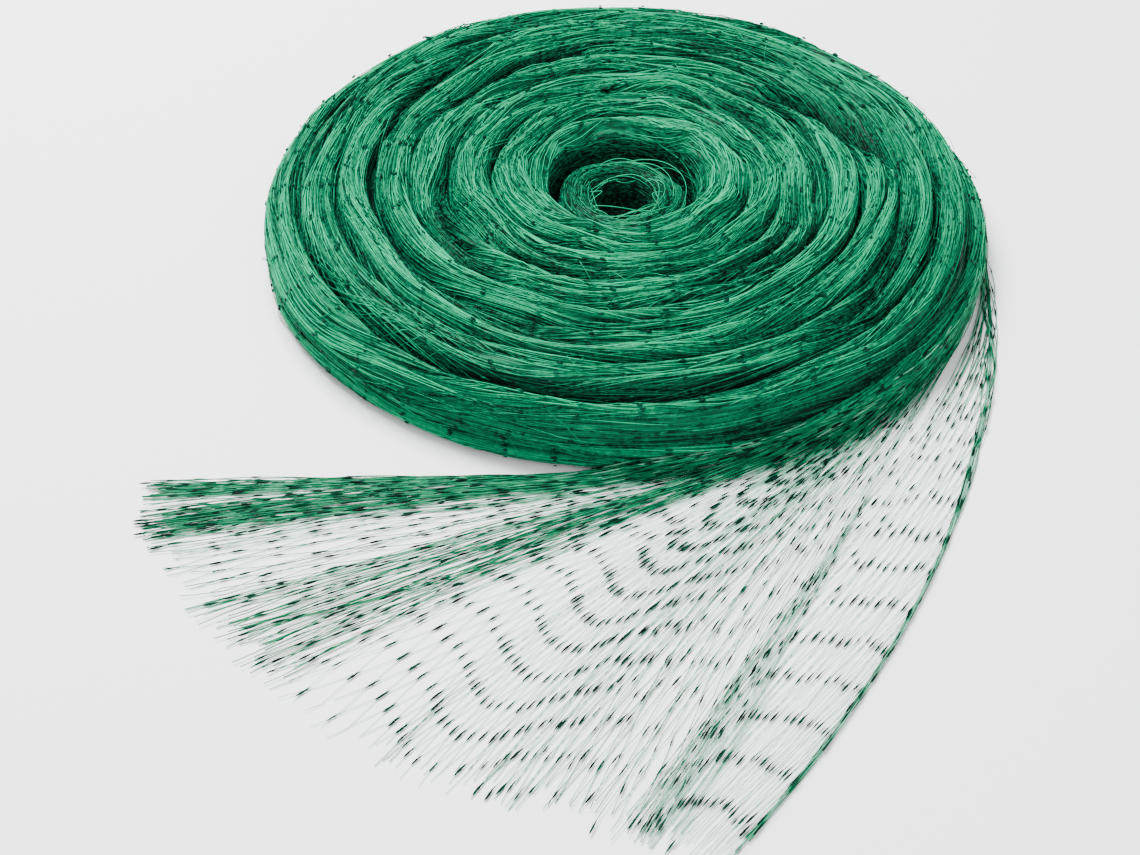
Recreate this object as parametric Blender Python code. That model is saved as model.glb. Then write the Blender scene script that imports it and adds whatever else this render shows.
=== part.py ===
"""A coreless roll of knotted bird netting with its loose end fanned out on the ground.

The net is pulled nearly shut into a soft rope and wound flat, clockwise seen from above, so each
turn shows as a rounded band with a groove beside it.  A low inner coil lies in the open middle.
The last turn leaves the outer wall, and its strands spread into a flat fan of stretched diamond
meshes.  Sizes are in millimetres and become metres when the meshes are made.  The roll's axis is
at x = 0, y = 0 until both pieces are stood with the middle of their common box over the origin.
"""

import bmesh
import bpy
import numpy as np
from mathutils import Vector
from mathutils.geometry import delaunay_2d_cdt

MM = 0.001

# Points of the roll's mesh
STEPS_ROUND = 60
ROWS_PER_TURN = 7
UNDER_ROWS_PER_TURN = 3
QUARTERS = 4

# Radius of each groove between turns, one row for a turn from the middle outwards
GROOVE_RADIUS = (
    # right, front, left, back
    (2.0, 4.0, 6.0, 8.0),
    (10.0, 14.0, 17.0, 22.0),
    (29.0, 33.0, 36.0, 41.0),
    (47.0, 53.0, 50.0, 54.0),
    (58.0, 68.0, 66.0, 70.0),
    (76.0, 84.0, 80.0, 84.0),
    (88.0, 96.0, 94.0, 98.0),
    (102.0, 110.0, 107.0, 110.0),
    (115.0, 124.0, 121.0, 124.0),
    (128.0, 135.0, 138.0, 140.0),
    (143.0, 146.0, 149.0, 152.0),
)

# Height of the crest of the turn just outside each groove
CREST_HEIGHT = (
    # right, front, left, back
    (28.0, 28.0, 28.0, 28.5),
    (28.5, 28.5, 29.0, 30.0),
    (30.0, 30.5, 30.0, 30.5),
    (30.5, 31.0, 30.5, 31.0),
    (31.0, 31.5, 31.0, 31.0),
    (31.0, 31.0, 30.5, 31.5),
    (31.5, 30.5, 31.0, 31.5),
    (31.0, 28.5, 30.0, 31.0),
    (28.5, 24.0, 27.5, 29.5),
    (23.0, 21.0, 24.0, 26.0),
    (22.0, 21.0, 24.0, 26.0),
)

# How far each groove lies below the crests beside it
GROOVE_DEPTH = (
    # right, front, left, back
    (1.0, 1.0, 1.5, 2.0),
    (2.0, 2.0, 2.0, 2.0),
    (2.5, 4.5, 6.0, 6.5),
    (7.0, 8.0, 9.0, 7.0),
    (8.0, 9.0, 10.0, 8.0),
    (12.0, 8.0, 10.0, 7.0),
    (11.0, 7.0, 8.0, 7.0),
    (8.0, 8.0, 7.0, 6.0),
    (13.0, 14.0, 11.0, 7.0),
    (7.0, 4.0, 2.0, 2.0),
    (2.0, 2.0, 2.0, 2.0),
)

# Creases where a bunch of strands leaves one band and joins the next
CREASES = (
    # start_deg, start_radius, end_deg, end_radius, half_width, depth
    (-92.0, 105.0, -168.0, 91.0, 3.0, 4.5),
    (-118.0, 82.0, -188.0, 65.0, 3.5, 5.0),
    (46.0, 78.0, 0.0, 99.0, 5.0, 8.0),
    (-12.0, 66.0, -75.0, 77.0, 3.0, 4.0),
    (150.0, 78.0, 98.0, 87.0, 3.0, 4.0),
    (168.0, 92.0, 120.0, 103.0, 3.0, 4.0),
    (70.0, 57.0, 15.0, 63.0, 3.0, 3.5),
    (-15.0, 106.0, -60.0, 118.0, 3.5, 5.0),
    (120.0, 117.0, 60.0, 125.0, 3.0, 3.5),
)

GROOVE_SHARPNESS = 3.2
SUB_RIDGE = 1.1
SUB_RIDGES_A_TURN = 2.6
SUB_RIDGE_TWIST = 3.0

# Open middle of the roll, from its top edge inwards over the low inner coil
EDGE_RADIUS = (31.0, 30.5, 30.0, 31.0)
EDGE_ROUND_WIDTH = 6.0
EDGE_ROUND_DROP = 3.5
MIDDLE_ROWS = (
    # radius, height, share_of_coil_lift
    (29.0, 22.0, 0.0),
    (28.3, 13.0, 0.0),
    (27.0, 7.0, 0.0),
    (25.3, 7.5, 0.3),
    (24.2, 13.0, 0.6),
    (22.4, 17.5, 1.0),
    (19.0, 19.0, 1.0),
    (15.5, 18.5, 1.0),
    (12.6, 16.0, 1.0),
    (10.8, 12.0, 0.8),
    (10.2, 6.0, 0.4),
)
COIL_LIFT = (-1.5, -1.0, 0.5, 1.0)

# Outer wall, hole and underside of the roll
RIM_RADIUS = (134.5, 134.2, 133.6, 132.6)
HOLE_RADIUS = (10.0, 10.0, 10.0, 10.2)
RIM_WAVES = ((3, 0.35, 0.4), (7, 0.25, 2.1))
RIM_ROUND_WIDTH = 11.0
RIM_ROUND_DROP = 9.0
WALL_ROWS = (
    # share_of_height, bulge, share_of_groove
    (0.80, 0.8, 0.0),
    (0.64, 0.8, 0.3),
    (0.54, 0.6, 1.0),
    (0.44, 0.8, 0.3),
    (0.22, 0.6, 0.0),
)
WALL_GROOVE = (1.0, 2.6, 3.0, 1.6)
UNDER_EDGE_INSET = 4.0
UNDER_GROOVE = 2.0
THINNEST_ROW = 0.7

# The loose end: each guide strand from the upper left edge round to the right selvage
FAN_GUIDES = (
    # leaves_wall_deg, tip_x, tip_y, strands_to_next, rise
    (-97.0, -155.0, -139.0, 12, 1.5),
    (-92.0, -156.0, -147.0, 3, 0.5),
    (-88.0, -155.0, -154.0, 14, 2.0),
    (-83.0, -152.0, -165.0, 6, 1.0),
    (-77.0, -145.0, -176.0, 5, 0.0),
    (-71.0, -136.0, -193.0, 10, 1.0),
    (-66.0, -119.0, -212.0, 9, 1.5),
    (-61.0, -102.0, -227.0, 5, 0.5),
    (-55.0, -79.0, -249.0, 7, 0.0),
    (-49.0, -53.0, -261.0, 9, 0.0),
    (-42.0, -27.0, -268.0, 9, 0.5),
    (-33.0, -1.0, -278.0, 9, 1.5),
    (-20.0, 12.0, -282.0, 9, 0.0),
    (-2.0, 24.0, -284.0, 0, 2.0),
)

SHEET_THICKNESS = 1.4
WALL_CLEARANCE_RADIUS = 137.0
SELVAGE_WIDTH = 1.5
WALL_LIFT = 9.0
WALL_LIFT_REACH = 24.0
MESH_BAR = 20.0
PITCH_RATIO = 1.5
BAR_HALF_WIDTH = 0.6
SMALLEST_GAP = 4.0
MOST_GAPS = 300
EDGE_MARGIN = 1.2
TIP_NOTCH = 10.0
TIP_HEM = 12.0
TIP_SPACING = 7.0
WALL_POINT_DEG = 5.0
LIFT_RINGS = (4.0, 10.0, 18.0)

NET_GREEN = (0.0, 0.33, 0.14, 1.0)
LOOSE_GREEN = (0.02, 0.36, 0.18, 1.0)
NET_ROUGHNESS = 0.45


def clear_objects():
    """Start from an empty scene."""
    for item in list(bpy.data.objects):
        bpy.data.objects.remove(item, do_unlink=True)


def smooth_track(table):
    """A smooth function of the turns wound, through a table's quarter-turn values."""
    values = np.array(table, float).ravel()
    before = 2 * values[0] - values[1]
    after = 2 * values[-1] - values[-2]
    values = np.concatenate([[before], values, [after]])
    last_start = len(values) - 4

    def at(turns):
        place = np.clip(np.asarray(turns, float) * QUARTERS, 0.0, last_start + 1.0)
        left = np.minimum(place.astype(int), last_start)
        f = place - left
        a, b, c, d = (values[left + k] for k in range(4))
        curve = 2 * b + (c - a) * f + (2 * a - 5 * b + 4 * c - d) * f ** 2
        return 0.5 * (curve + (3 * b - a - 3 * c + d) * f ** 3)

    return at


def smooth_ring(values):
    """A smooth closed function of the share of a turn, through four quarter values."""
    track = smooth_track([values] * 3)
    return lambda share: track(1.0 + np.mod(share, 1.0))


groove_radius = smooth_track(GROOVE_RADIUS)
crest_height = smooth_track(CREST_HEIGHT)
groove_depth = smooth_track(GROOVE_DEPTH)
hole_radius = smooth_ring(HOLE_RADIUS)
edge_radius = smooth_ring(EDGE_RADIUS)
coil_lift = smooth_ring(COIL_LIFT)
plain_rim = smooth_ring(RIM_RADIUS)
wall_groove = smooth_ring(WALL_GROOVE)


def rim_radius(share):
    """Radius of the outer wall, a little wavy."""
    radius = plain_rim(share)
    for count, size, phase in RIM_WAVES:
        radius = radius + size * np.sin(2 * np.pi * count * share + phase)
    return radius


def crease_drop(angle_deg, radius):
    """How far the creases lower the top at a place."""
    drop = 0.0
    for start_deg, start_radius, end_deg, end_radius, half_width, depth in CREASES:
        along = np.mod(start_deg - angle_deg, 360.0) / (start_deg - end_deg)
        if along <= 1.0:
            middle = start_radius + (end_radius - start_radius) * along
            fade = np.sin(np.pi * along) ** 0.5
            drop += depth * fade * np.exp(-((radius - middle) / half_width) ** 2)
    return drop


def top_height(share, turns, radius):
    """Height of the top at a share of the way round, at the turns wound there."""
    turn = np.floor(turns - share + 1e-9)
    inner = share + turn
    across = turns - inner
    crest = crest_height(inner)
    if across < 0.5:
        groove_at, neighbour = inner, crest_height(inner - 1.0)
    else:
        groove_at, neighbour = inner + 1.0, crest_height(inner + 1.0)
    floor = 0.5 * (crest + neighbour) - groove_depth(groove_at)
    height = crest - (crest - floor) * abs(2 * across - 1) ** GROOVE_SHARPNESS
    twist = 2 * np.pi * (SUB_RIDGES_A_TURN * across + SUB_RIDGE_TWIST * turns)
    height += SUB_RIDGE * np.cos(twist) * (1 - (2 * across - 1) ** 2)
    height -= crease_drop(-360.0 * share, radius)
    inside_edge = max(0.0, edge_radius(share) + EDGE_ROUND_WIDTH - radius) / EDGE_ROUND_WIDTH
    height -= EDGE_ROUND_DROP * inside_edge ** 2
    past = max(0.0, radius - (rim_radius(share) - RIM_ROUND_WIDTH)) / RIM_ROUND_WIDTH
    return height - RIM_ROUND_DROP * past ** 2


def under_height(share, turns):
    """Height of the underside: flat bands with a shallow groove between them."""
    across = np.mod(turns - share, 1.0)
    return UNDER_GROOVE if min(across, 1 - across) < 0.5 / UNDER_ROWS_PER_TURN else 0.0


def band_radius(share, turns):
    """Radius of a place in the winding, between the grooves on either side of its band."""
    inner = share + np.floor(turns - share + 1e-9)
    across = turns - inner
    return float((1 - across) * groove_radius(inner) + across * groove_radius(inner + 1.0))


def spiral_rows(bm, rows_per_turn, hole, rim, height):
    """Points on rows that follow the winding; rows that meet a rim share its point."""
    last_row = rows_per_turn * (len(GROOVE_RADIUS) - 1)
    columns = []
    for step in range(STEPS_ROUND):
        share = step / STEPS_ROUND
        inner_rim, outer_rim = float(hole(share)), float(rim(share))
        column, shared = [], {}
        for row in range(last_row + 1):
            turns = share + row / rows_per_turn
            radius = band_radius(share, turns)
            if radius < inner_rim + THINNEST_ROW:
                radius = inner_rim
            if radius > outer_rim - THINNEST_ROW:
                radius = outer_rim
            key = round(radius, 4)
            if key not in shared:
                angle = -2 * np.pi * share
                z = height(share, turns, radius)
                place = Vector((radius * np.cos(angle), radius * np.sin(angle), z))
                shared[key] = bm.verts.new(place * MM)
            column.append(shared[key])
        columns.append(column)
    return columns


def spiral_faces(bm, columns, rows_per_turn):
    """Join neighbouring rows; after one time round, each row meets the next turn's row."""
    last_row = len(columns[0]) - 1
    for step, column in enumerate(columns):
        wraps = step == STEPS_ROUND - 1
        beside = columns[0] if wraps else columns[step + 1]
        shift = rows_per_turn if wraps else 0
        for row in range(last_row):
            corners = (
                column[row],
                beside[min(row + shift, last_row)],
                beside[min(row + 1 + shift, last_row)],
                column[row + 1],
            )
            unique = list(dict.fromkeys(corners))
            if len(unique) >= 3:
                bm.faces.new(unique)


def join_rings(bm, upper, lower):
    """Quads between two rings with the same number of points."""
    count = len(upper)
    for step in range(count):
        after = (step + 1) % count
        bm.faces.new((upper[step], lower[step], lower[after], upper[after]))


def finish_mesh(bm, name, colour):
    """Turn the faces outwards and make the named object with its own material."""
    bmesh.ops.recalc_face_normals(bm, faces=bm.faces)
    mesh = bpy.data.meshes.new(name)
    bm.to_mesh(mesh)
    bm.free()
    mesh.shade_smooth()
    mesh.set_sharp_from_angle(angle=np.radians(50.0))
    material = bpy.data.materials.new(name)
    material.use_nodes = True
    shader = material.node_tree.nodes["Principled BSDF"]
    shader.inputs["Base Color"].default_value = colour
    shader.inputs["Roughness"].default_value = NET_ROUGHNESS
    shader.inputs["Metallic"].default_value = 0.0
    mesh.materials.append(material)
    piece = bpy.data.objects.new(name, mesh)
    bpy.context.collection.objects.link(piece)
    return piece


def make_wound_roll():
    """The wound form: banded top, rounded wall, inner coil, hole and flat underside."""
    bm = bmesh.new()
    top = spiral_rows(bm, ROWS_PER_TURN, edge_radius, rim_radius, top_height)
    spiral_faces(bm, top, ROWS_PER_TURN)

    def under(share, turns, _radius):
        return under_height(share, turns)

    def under_rim(share):
        return rim_radius(share) - UNDER_EDGE_INSET

    bottom = spiral_rows(bm, UNDER_ROWS_PER_TURN, hole_radius, under_rim, under)
    spiral_faces(bm, bottom, UNDER_ROWS_PER_TURN)
    for column in bottom:
        column[0].co.z = 0.0
        column[-1].co.z = 0.0

    ring = [column[-1] for column in top]
    for height_share, bulge, groove_share in WALL_ROWS:
        lower = []
        for step, column in enumerate(top):
            share = step / STEPS_ROUND
            radius = rim_radius(share) + bulge - groove_share * wall_groove(share)
            angle = -2 * np.pi * share
            z = column[-1].co.z * height_share
            place = (radius * np.cos(angle) * MM, radius * np.sin(angle) * MM, z)
            lower.append(bm.verts.new(place))
        join_rings(bm, ring, lower)
        ring = lower
    join_rings(bm, ring, [column[-1] for column in bottom])

    ring = [column[0] for column in top]
    for radius, height, lift_share in MIDDLE_ROWS:
        lower = []
        for step in range(STEPS_ROUND):
            share = step / STEPS_ROUND
            angle = -2 * np.pi * share
            z = height + lift_share * float(coil_lift(share))
            place = Vector((radius * np.cos(angle), radius * np.sin(angle), z))
            lower.append(bm.verts.new(place * MM))
        join_rings(bm, ring, lower)
        ring = lower
    join_rings(bm, ring, [column[0] for column in bottom])
    return finish_mesh(bm, "wound_roll", NET_GREEN)


guides = np.array(FAN_GUIDES)
guide_share = np.concatenate([[0.0], np.cumsum(guides[:-1, 3])]) / np.sum(guides[:, 3])


def strand_curve(share):
    """Start, bend and tip of the strand at a share of the way across the fan."""
    leaves, tip_x, tip_y = (np.interp(share, guide_share, guides[:, k]) for k in range(3))
    angle = np.radians(leaves)
    start = WALL_CLEARANCE_RADIUS * np.array([np.cos(angle), np.sin(angle)])
    tip = np.array([tip_x, tip_y])
    heading = np.array([np.sin(angle), -np.cos(angle)])
    bend = start + heading * 0.5 * np.linalg.norm(tip - start)
    return start, bend, tip


def strand_point(share, from_tip):
    """Place on a strand at a distance back from its tip; past the wall it stays there."""
    start, bend, tip = strand_curve(share)
    length = np.linalg.norm(bend - start) + np.linalg.norm(tip - bend)
    f = np.clip(1.0 - from_tip / length, 0.0, 1.0)
    return (1 - f) ** 2 * start + 2 * f * (1 - f) * bend + f ** 2 * tip


def strand_length(share):
    """Length of a strand from the wall to its tip, near enough."""
    start, bend, tip = strand_curve(share)
    return np.linalg.norm(bend - start) + np.linalg.norm(tip - bend)


def tip_shares():
    """Shares across the fan whose tips stand a notch apart."""
    fine = np.linspace(0.0, 1.0, 400)
    tips = np.array([strand_curve(share)[2] for share in fine])
    walked = np.concatenate([[0.0], np.cumsum(np.linalg.norm(np.diff(tips, axis=0), axis=1))])
    count = int(round(walked[-1] / TIP_SPACING / 2)) * 2
    return np.interp(np.linspace(0.0, walked[-1], count + 1), walked, fine)


def fan_outline():
    """The fan's outline: upper edge, notched tips, right selvage and the wall's arc."""
    points = []
    for from_tip in np.linspace(strand_length(0.0) * 0.98, MESH_BAR, 6):
        points.append(strand_point(0.0, from_tip))
    for number, share in enumerate(tip_shares()):
        points.append(strand_point(share, TIP_NOTCH * (number % 2)))
    reach = strand_length(1.0)
    for from_tip in np.linspace(MESH_BAR, reach, 10):
        here = strand_point(1.0, from_tip)
        ahead = strand_point(1.0, from_tip - 1.0)
        heading = (ahead - here) / np.linalg.norm(ahead - here)
        points.append(here + SELVAGE_WIDTH * np.array([-heading[1], heading[0]]))
    first_deg, last_deg = guides[-1, 0], guides[0, 0]
    count = int(round((first_deg - last_deg) / WALL_POINT_DEG))
    for deg in np.linspace(first_deg, last_deg, count + 1):
        angle = np.radians(deg)
        points.append(WALL_CLEARANCE_RADIUS * np.array([np.cos(angle), np.sin(angle)]))
    return np.array(points)


def inside(point, loop):
    """Whether a point lies within a closed outline."""
    x, y = point
    x0, y0 = loop[:, 0], loop[:, 1]
    x1, y1 = np.roll(x0, -1), np.roll(y0, -1)
    spans = (y0 > y) != (y1 > y)
    rise = np.where(spans, y1 - y0, 1.0)
    crossing = x0 + (y - y0) / rise * (x1 - x0)
    return bool(np.sum(spans & (x < crossing)) % 2)


def distance_to(point, loop):
    """Shortest distance from a point to a closed outline."""
    a, b = loop, np.roll(loop, -1, axis=0)
    side = b - a
    along = np.sum((point - a) * side, axis=1) / np.maximum(np.sum(side ** 2, axis=1), 1e-12)
    nearest = a + np.clip(along, 0.0, 1.0)[:, None] * side
    return float(np.min(np.linalg.norm(nearest - point, axis=1)))


def mesh_gaps(outline):
    """Diamond gaps between staggered strands, the widest first, where they are wide enough."""
    columns = int(round(np.sum(guides[:, 3]) / PITCH_RATIO))
    row_step = MESH_BAR * PITCH_RATIO
    rows = int(strand_length(1.0) / row_step)
    gaps = []
    for column in range(1, columns):
        for row in range(1, rows):
            if (column + row) % 2:
                continue
            share, from_tip = column / columns, row * row_step
            centre = strand_point(share, from_tip)
            across = [strand_point(share + k / columns, from_tip) for k in (-1, 1)]
            ends = (max(from_tip - row_step, TIP_HEM), from_tip + row_step)
            along = [strand_point(share, end) for end in ends]
            half_width = 0.5 * np.linalg.norm(across[1] - across[0])
            shrink = 1.0 - BAR_HALF_WIDTH / half_width
            width = 2 * half_width * shrink
            corners = np.array([across[0], along[0], across[1], along[1]])
            corners = centre + (corners - centre) * shrink
            clear = all(
                inside(corner, outline) and distance_to(corner, outline) > EDGE_MARGIN
                for corner in corners
            )
            if width > SMALLEST_GAP and clear:
                gaps.append((width, corners))
    gaps.sort(key=lambda gap: -gap[0])
    return [corners for _width, corners in gaps[:MOST_GAPS]]


fan_shares = np.linspace(0.0, 1.0, 106)
fan_reaches = np.linspace(0.0, 300.0, 61)
fan_places = np.array([[strand_point(share, d) for d in fan_reaches] for share in fan_shares])


def sheet_height(point):
    """Height of the loose end's underside: bunches rise a little, and it climbs at the wall."""
    misses = np.linalg.norm(fan_places - point, axis=2).min(axis=1)
    rise = np.interp(fan_shares[int(np.argmin(misses))], guide_share, guides[:, 4])
    from_wall = np.linalg.norm(point) - WALL_CLEARANCE_RADIUS
    near = np.clip(1.0 - from_wall / WALL_LIFT_REACH, 0.0, 1.0)
    return rise + (WALL_LIFT - rise) * near ** 2


def lift_points(outline, gaps):
    """Extra points near the wall, so that the sheet bends there."""
    points = []
    for ring in LIFT_RINGS:
        for deg in np.arange(guides[0, 0], guides[-1, 0], WALL_POINT_DEG):
            angle = np.radians(deg)
            point = (WALL_CLEARANCE_RADIUS + ring) * np.array([np.cos(angle), np.sin(angle)])
            if not inside(point, outline) or distance_to(point, outline) < EDGE_MARGIN:
                continue
            if all(distance_to(point, gap) > EDGE_MARGIN for gap in gaps):
                points.append(point)
    return points


def make_loose_end():
    """The fanned sheet of net: one thin solid with its diamond gaps cut through."""
    outline = fan_outline()
    gaps = mesh_gaps(outline)
    loops = [outline] + gaps
    points, edges = [], []
    for loop in loops:
        first = len(points)
        points += [Vector(point) for point in loop]
        count = len(loop)
        edges += [(first + k, first + (k + 1) % count) for k in range(count)]
    points += [Vector(point) for point in lift_points(outline, gaps)]
    loop_of = np.repeat(np.arange(len(loops)), [len(loop) for loop in loops])
    loop_of = np.concatenate([loop_of, np.zeros(len(points) - len(loop_of), int)])
    places, _edges, triangles, came_from, *_rest = delaunay_2d_cdt(points, edges, [], 0, 1e-4)

    bm = bmesh.new()
    verts = []
    for place in places:
        z = sheet_height(np.array(place))
        verts.append(bm.verts.new(Vector((place.x, place.y, z)) * MM))
    for triangle in triangles:
        middle = np.mean([np.array(places[k]) for k in triangle], axis=0)
        owners = {int(loop_of[came_from[k][0]]) for k in triangle}
        in_gap = len(owners) == 1 and 0 not in owners
        if inside(middle, outline) and not in_gap:
            bm.faces.new([verts[k] for k in triangle])
    lonely = [vert for vert in bm.verts if not vert.link_faces]
    bmesh.ops.delete(bm, geom=lonely, context="VERTS")
    raised = bmesh.ops.extrude_face_region(bm, geom=list(bm.faces), use_keep_orig=True)
    upper = [item for item in raised["geom"] if isinstance(item, bmesh.types.BMVert)]
    bmesh.ops.translate(bm, verts=upper, vec=(0.0, 0.0, SHEET_THICKNESS * MM))
    return finish_mesh(bm, "loose_end", LOOSE_GREEN)


def stand_over_origin(pieces):
    """Move the pieces together until the middle of their box's base is the origin."""
    corners = np.array([vert.co for piece in pieces for vert in piece.data.vertices])
    low, high = corners.min(axis=0), corners.max(axis=0)
    for piece in pieces:
        piece.location = (-(low[0] + high[0]) / 2, -(low[1] + high[1]) / 2, -low[2])


clear_objects()
stand_over_origin([make_wound_roll(), make_loose_end()])
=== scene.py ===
# %% [markdown]
# # A coreless roll of knotted bird netting with its loose end fanned out
#
# Bird netting is tied from fine green filament into diamond meshes.  Pulled nearly shut, the meshes
# close into a soft rope of parallel filaments, which is wound flat round an empty middle.  The last
# turn leaves the outer wall, and its filaments spread over the ground into a fan of long diamonds.
#
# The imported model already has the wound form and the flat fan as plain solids.  This lesson dresses
# them in three layers: a finely modelled wound body, thousands of real filaments laid over it, and
# a net of separate filaments and knots in place of the fan.

import bpy
import numpy as np
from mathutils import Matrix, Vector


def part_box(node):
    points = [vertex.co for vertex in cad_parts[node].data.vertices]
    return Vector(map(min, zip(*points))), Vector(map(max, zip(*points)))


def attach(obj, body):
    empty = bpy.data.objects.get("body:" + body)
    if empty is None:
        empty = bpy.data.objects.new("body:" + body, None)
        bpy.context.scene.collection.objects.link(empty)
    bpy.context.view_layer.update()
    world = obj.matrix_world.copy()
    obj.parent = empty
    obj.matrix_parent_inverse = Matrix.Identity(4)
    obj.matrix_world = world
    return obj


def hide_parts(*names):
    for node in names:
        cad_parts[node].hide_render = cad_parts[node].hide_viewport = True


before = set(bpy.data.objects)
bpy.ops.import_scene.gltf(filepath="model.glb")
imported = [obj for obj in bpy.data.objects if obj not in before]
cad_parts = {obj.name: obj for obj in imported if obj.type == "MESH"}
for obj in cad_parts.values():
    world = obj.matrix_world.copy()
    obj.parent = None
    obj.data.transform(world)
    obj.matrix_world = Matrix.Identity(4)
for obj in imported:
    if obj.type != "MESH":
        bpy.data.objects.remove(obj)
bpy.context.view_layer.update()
MM = 0.001

# %% [markdown]
# ## Where the winding's axis stands
#
# Everything on the roll is measured from the axis that it is wound round.  The roll isn't quite
# round, so the middle of its box lies a little beside that axis.

# %% Find the axis
ROLL_BOX_OFFSET = (0.80, -0.60)

roll_low, roll_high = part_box("wound_roll")
roll_middle = (roll_low + roll_high) / 2
AXIS = np.array([
    roll_middle.x - ROLL_BOX_OFFSET[0] * MM,
    roll_middle.y - ROLL_BOX_OFFSET[1] * MM,
    0.0,
])
print("axis at", np.round(AXIS, 5))

# %% [markdown]
# ## The camera
#
# The photograph looks down on the roll at about 42 degrees through a longish lens.  The place and
# the lens were fitted to the roll's ellipse and to the flat fan, so the camera comes first and
# every later step can be judged through it.

# %% Make the camera
CAMERA_FROM_AXIS = (-0.020, -0.568, 0.405)
CAMERA_TILT_DEG = 41.6
CAMERA_LENS = 56.84

camera = bpy.data.objects.new("camera", bpy.data.cameras.new("camera"))
camera.data.lens = CAMERA_LENS
camera.location = AXIS + np.array(CAMERA_FROM_AXIS)
camera.rotation_euler = (np.radians(90.0 - CAMERA_TILT_DEG), 0.0, 0.0)
bpy.context.collection.objects.link(camera)
bpy.context.scene.camera = camera
print("camera at", [round(x, 3) for x in camera.location])

# %% [markdown]
# ## The winding as numbers
#
# The winding runs clockwise from the middle, and its turns differ in width and height.  A few
# tables, one row for a turn with a value each quarter of the way round, say where the grooves lie
# and how high the crests stand.  They are the values that the solid was made from, so that the
# finer body keeps the solid's form; only the grooves are sharper here.  The last two groove rows
# are added: they carry the winding's spacing on down the outer wall, where filaments lie in bands
# as well.

# %% Tables of the winding, in millimetres
QUARTERS = 4

GROOVE_RADIUS = (
    # right, front, left, back
    (2, 4, 6, 8),
    (10, 14, 17, 22),
    (29, 33, 36, 41),
    (47, 53, 50, 54),
    (58, 68, 66, 70),
    (76, 84, 80, 84),
    (88, 96, 94, 98),
    (102, 110, 107, 110),
    (115, 124, 121, 124),
    (128, 135, 138, 140),
    (143, 146, 149, 152),
    (155, 158, 161, 164),
    (167, 170, 173, 176),
)

CREST_HEIGHT = (
    # right, front, left, back
    (28, 28, 28, 28.5),
    (28.5, 28.5, 29, 30),
    (30, 30.5, 30, 30.5),
    (30.5, 31, 30.5, 31),
    (31, 31.5, 31, 31),
    (31, 31, 30.5, 31.5),
    (31.5, 30.5, 31, 31.5),
    (31, 28.5, 30, 31),
    (28.5, 24, 27.5, 29.5),
    (23, 21, 24, 26),
    (22, 21, 24, 26),
)

GROOVE_DEPTH = (
    # right, front, left, back
    (1, 1, 1.5, 2),
    (2, 2, 2, 2),
    (2.5, 4.5, 6, 6.5),
    (7, 8, 9, 7),
    (8, 9, 10, 8),
    (12, 8, 10, 7),
    (11, 7, 8, 7),
    (8, 8, 7, 6),
    (13, 14, 11, 7),
    (7, 4, 2, 2),
    (2, 2, 2, 2),
)

CREASES = (
    # start_deg, start_radius, end_deg, end_radius, half_width, depth
    (-92, 105, -168, 91, 3, 4.5),
    (-118, 82, -188, 65, 3.5, 5),
    (46, 78, 0, 99, 5, 8),
    (-12, 66, -75, 77, 3, 4),
    (150, 78, 98, 87, 3, 4),
    (168, 92, 120, 103, 3, 4),
    (70, 57, 15, 63, 3, 3.5),
    (-15, 106, -60, 118, 3.5, 5),
    (120, 117, 60, 125, 3, 3.5),
)

GROOVE_SHARPNESS = 4.6
GROOVE_HOLD = ((2.3, 0.5), (5.1, 2.0), (8.7, 4.4))
GROOVE_HOLD_LEVEL, GROOVE_HOLD_SWAY = 0.9, 0.2
GROOVE_HOLD_LIMITS = (0.3, 1.15)

EDGE_RADIUS = (31.0, 30.5, 30.0, 31.0)
EDGE_ROUND_WIDTH = 6.0
EDGE_ROUND_DROP = 3.5
MIDDLE_ROWS = (
    # radius, height, share_of_coil_lift, shade
    (30.6, 26.0, 0.0, 0.75),
    (29.0, 22.0, 0.0, 0.32),
    (28.3, 13.0, 0.0, 0.10),
    (27.0, 7.0, 0.0, 0.02),
    (25.3, 7.5, 0.3, 0.03),
    (24.2, 13.0, 0.6, 0.06),
    (22.4, 17.5, 1.0, 0.20),
    (19.0, 19.0, 1.0, 0.30),
    (15.5, 18.5, 1.0, 0.20),
    (12.6, 16.0, 1.0, 0.08),
    (10.8, 12.0, 0.8, 0.03),
    (10.2, 6.0, 0.4, 0.02),
    (10.0, 0.0, 0.0, 0.03),
)
COIL_LIFT = (-1.5, -1.0, 0.5, 1.0)

RIM_RADIUS = (134.5, 134.2, 133.6, 132.6)
RIM_WAVES = ((3, 0.35, 0.4), (7, 0.25, 2.1))
RIM_ROUND_WIDTH = 11.0
RIM_ROUND_DROP = 9.0
WALL_ROWS = (
    # share_of_height, bulge, share_of_groove
    (1.00, 0.0, 0.0),
    (0.80, 0.8, 0.0),
    (0.64, 0.8, 0.3),
    (0.54, 0.6, 1.0),
    (0.44, 0.8, 0.3),
    (0.22, 0.6, 0.0),
    (0.00, -4.0, 0.0),
)
WALL_GROOVE = (1.0, 2.6, 3.0, 1.6)


def smooth_track(table, a_unit=QUARTERS):
    """A smooth function through a table's values, which stand so many to a unit."""
    values = np.array(table, float).ravel()
    before = 2 * values[0] - values[1]
    after = 2 * values[-1] - values[-2]
    values = np.concatenate([[before], values, [after]])
    last_start = len(values) - 4

    def at(turns):
        place = np.clip(np.asarray(turns, float) * a_unit, 0.0, last_start + 1.0)
        left = np.minimum(place.astype(int), last_start)
        f = place - left
        a, b, c, d = (values[left + k] for k in range(4))
        curve = 2 * b + (c - a) * f + (2 * a - 5 * b + 4 * c - d) * f ** 2
        return 0.5 * (curve + (3 * b - a - 3 * c + d) * f ** 3)

    return at


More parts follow.
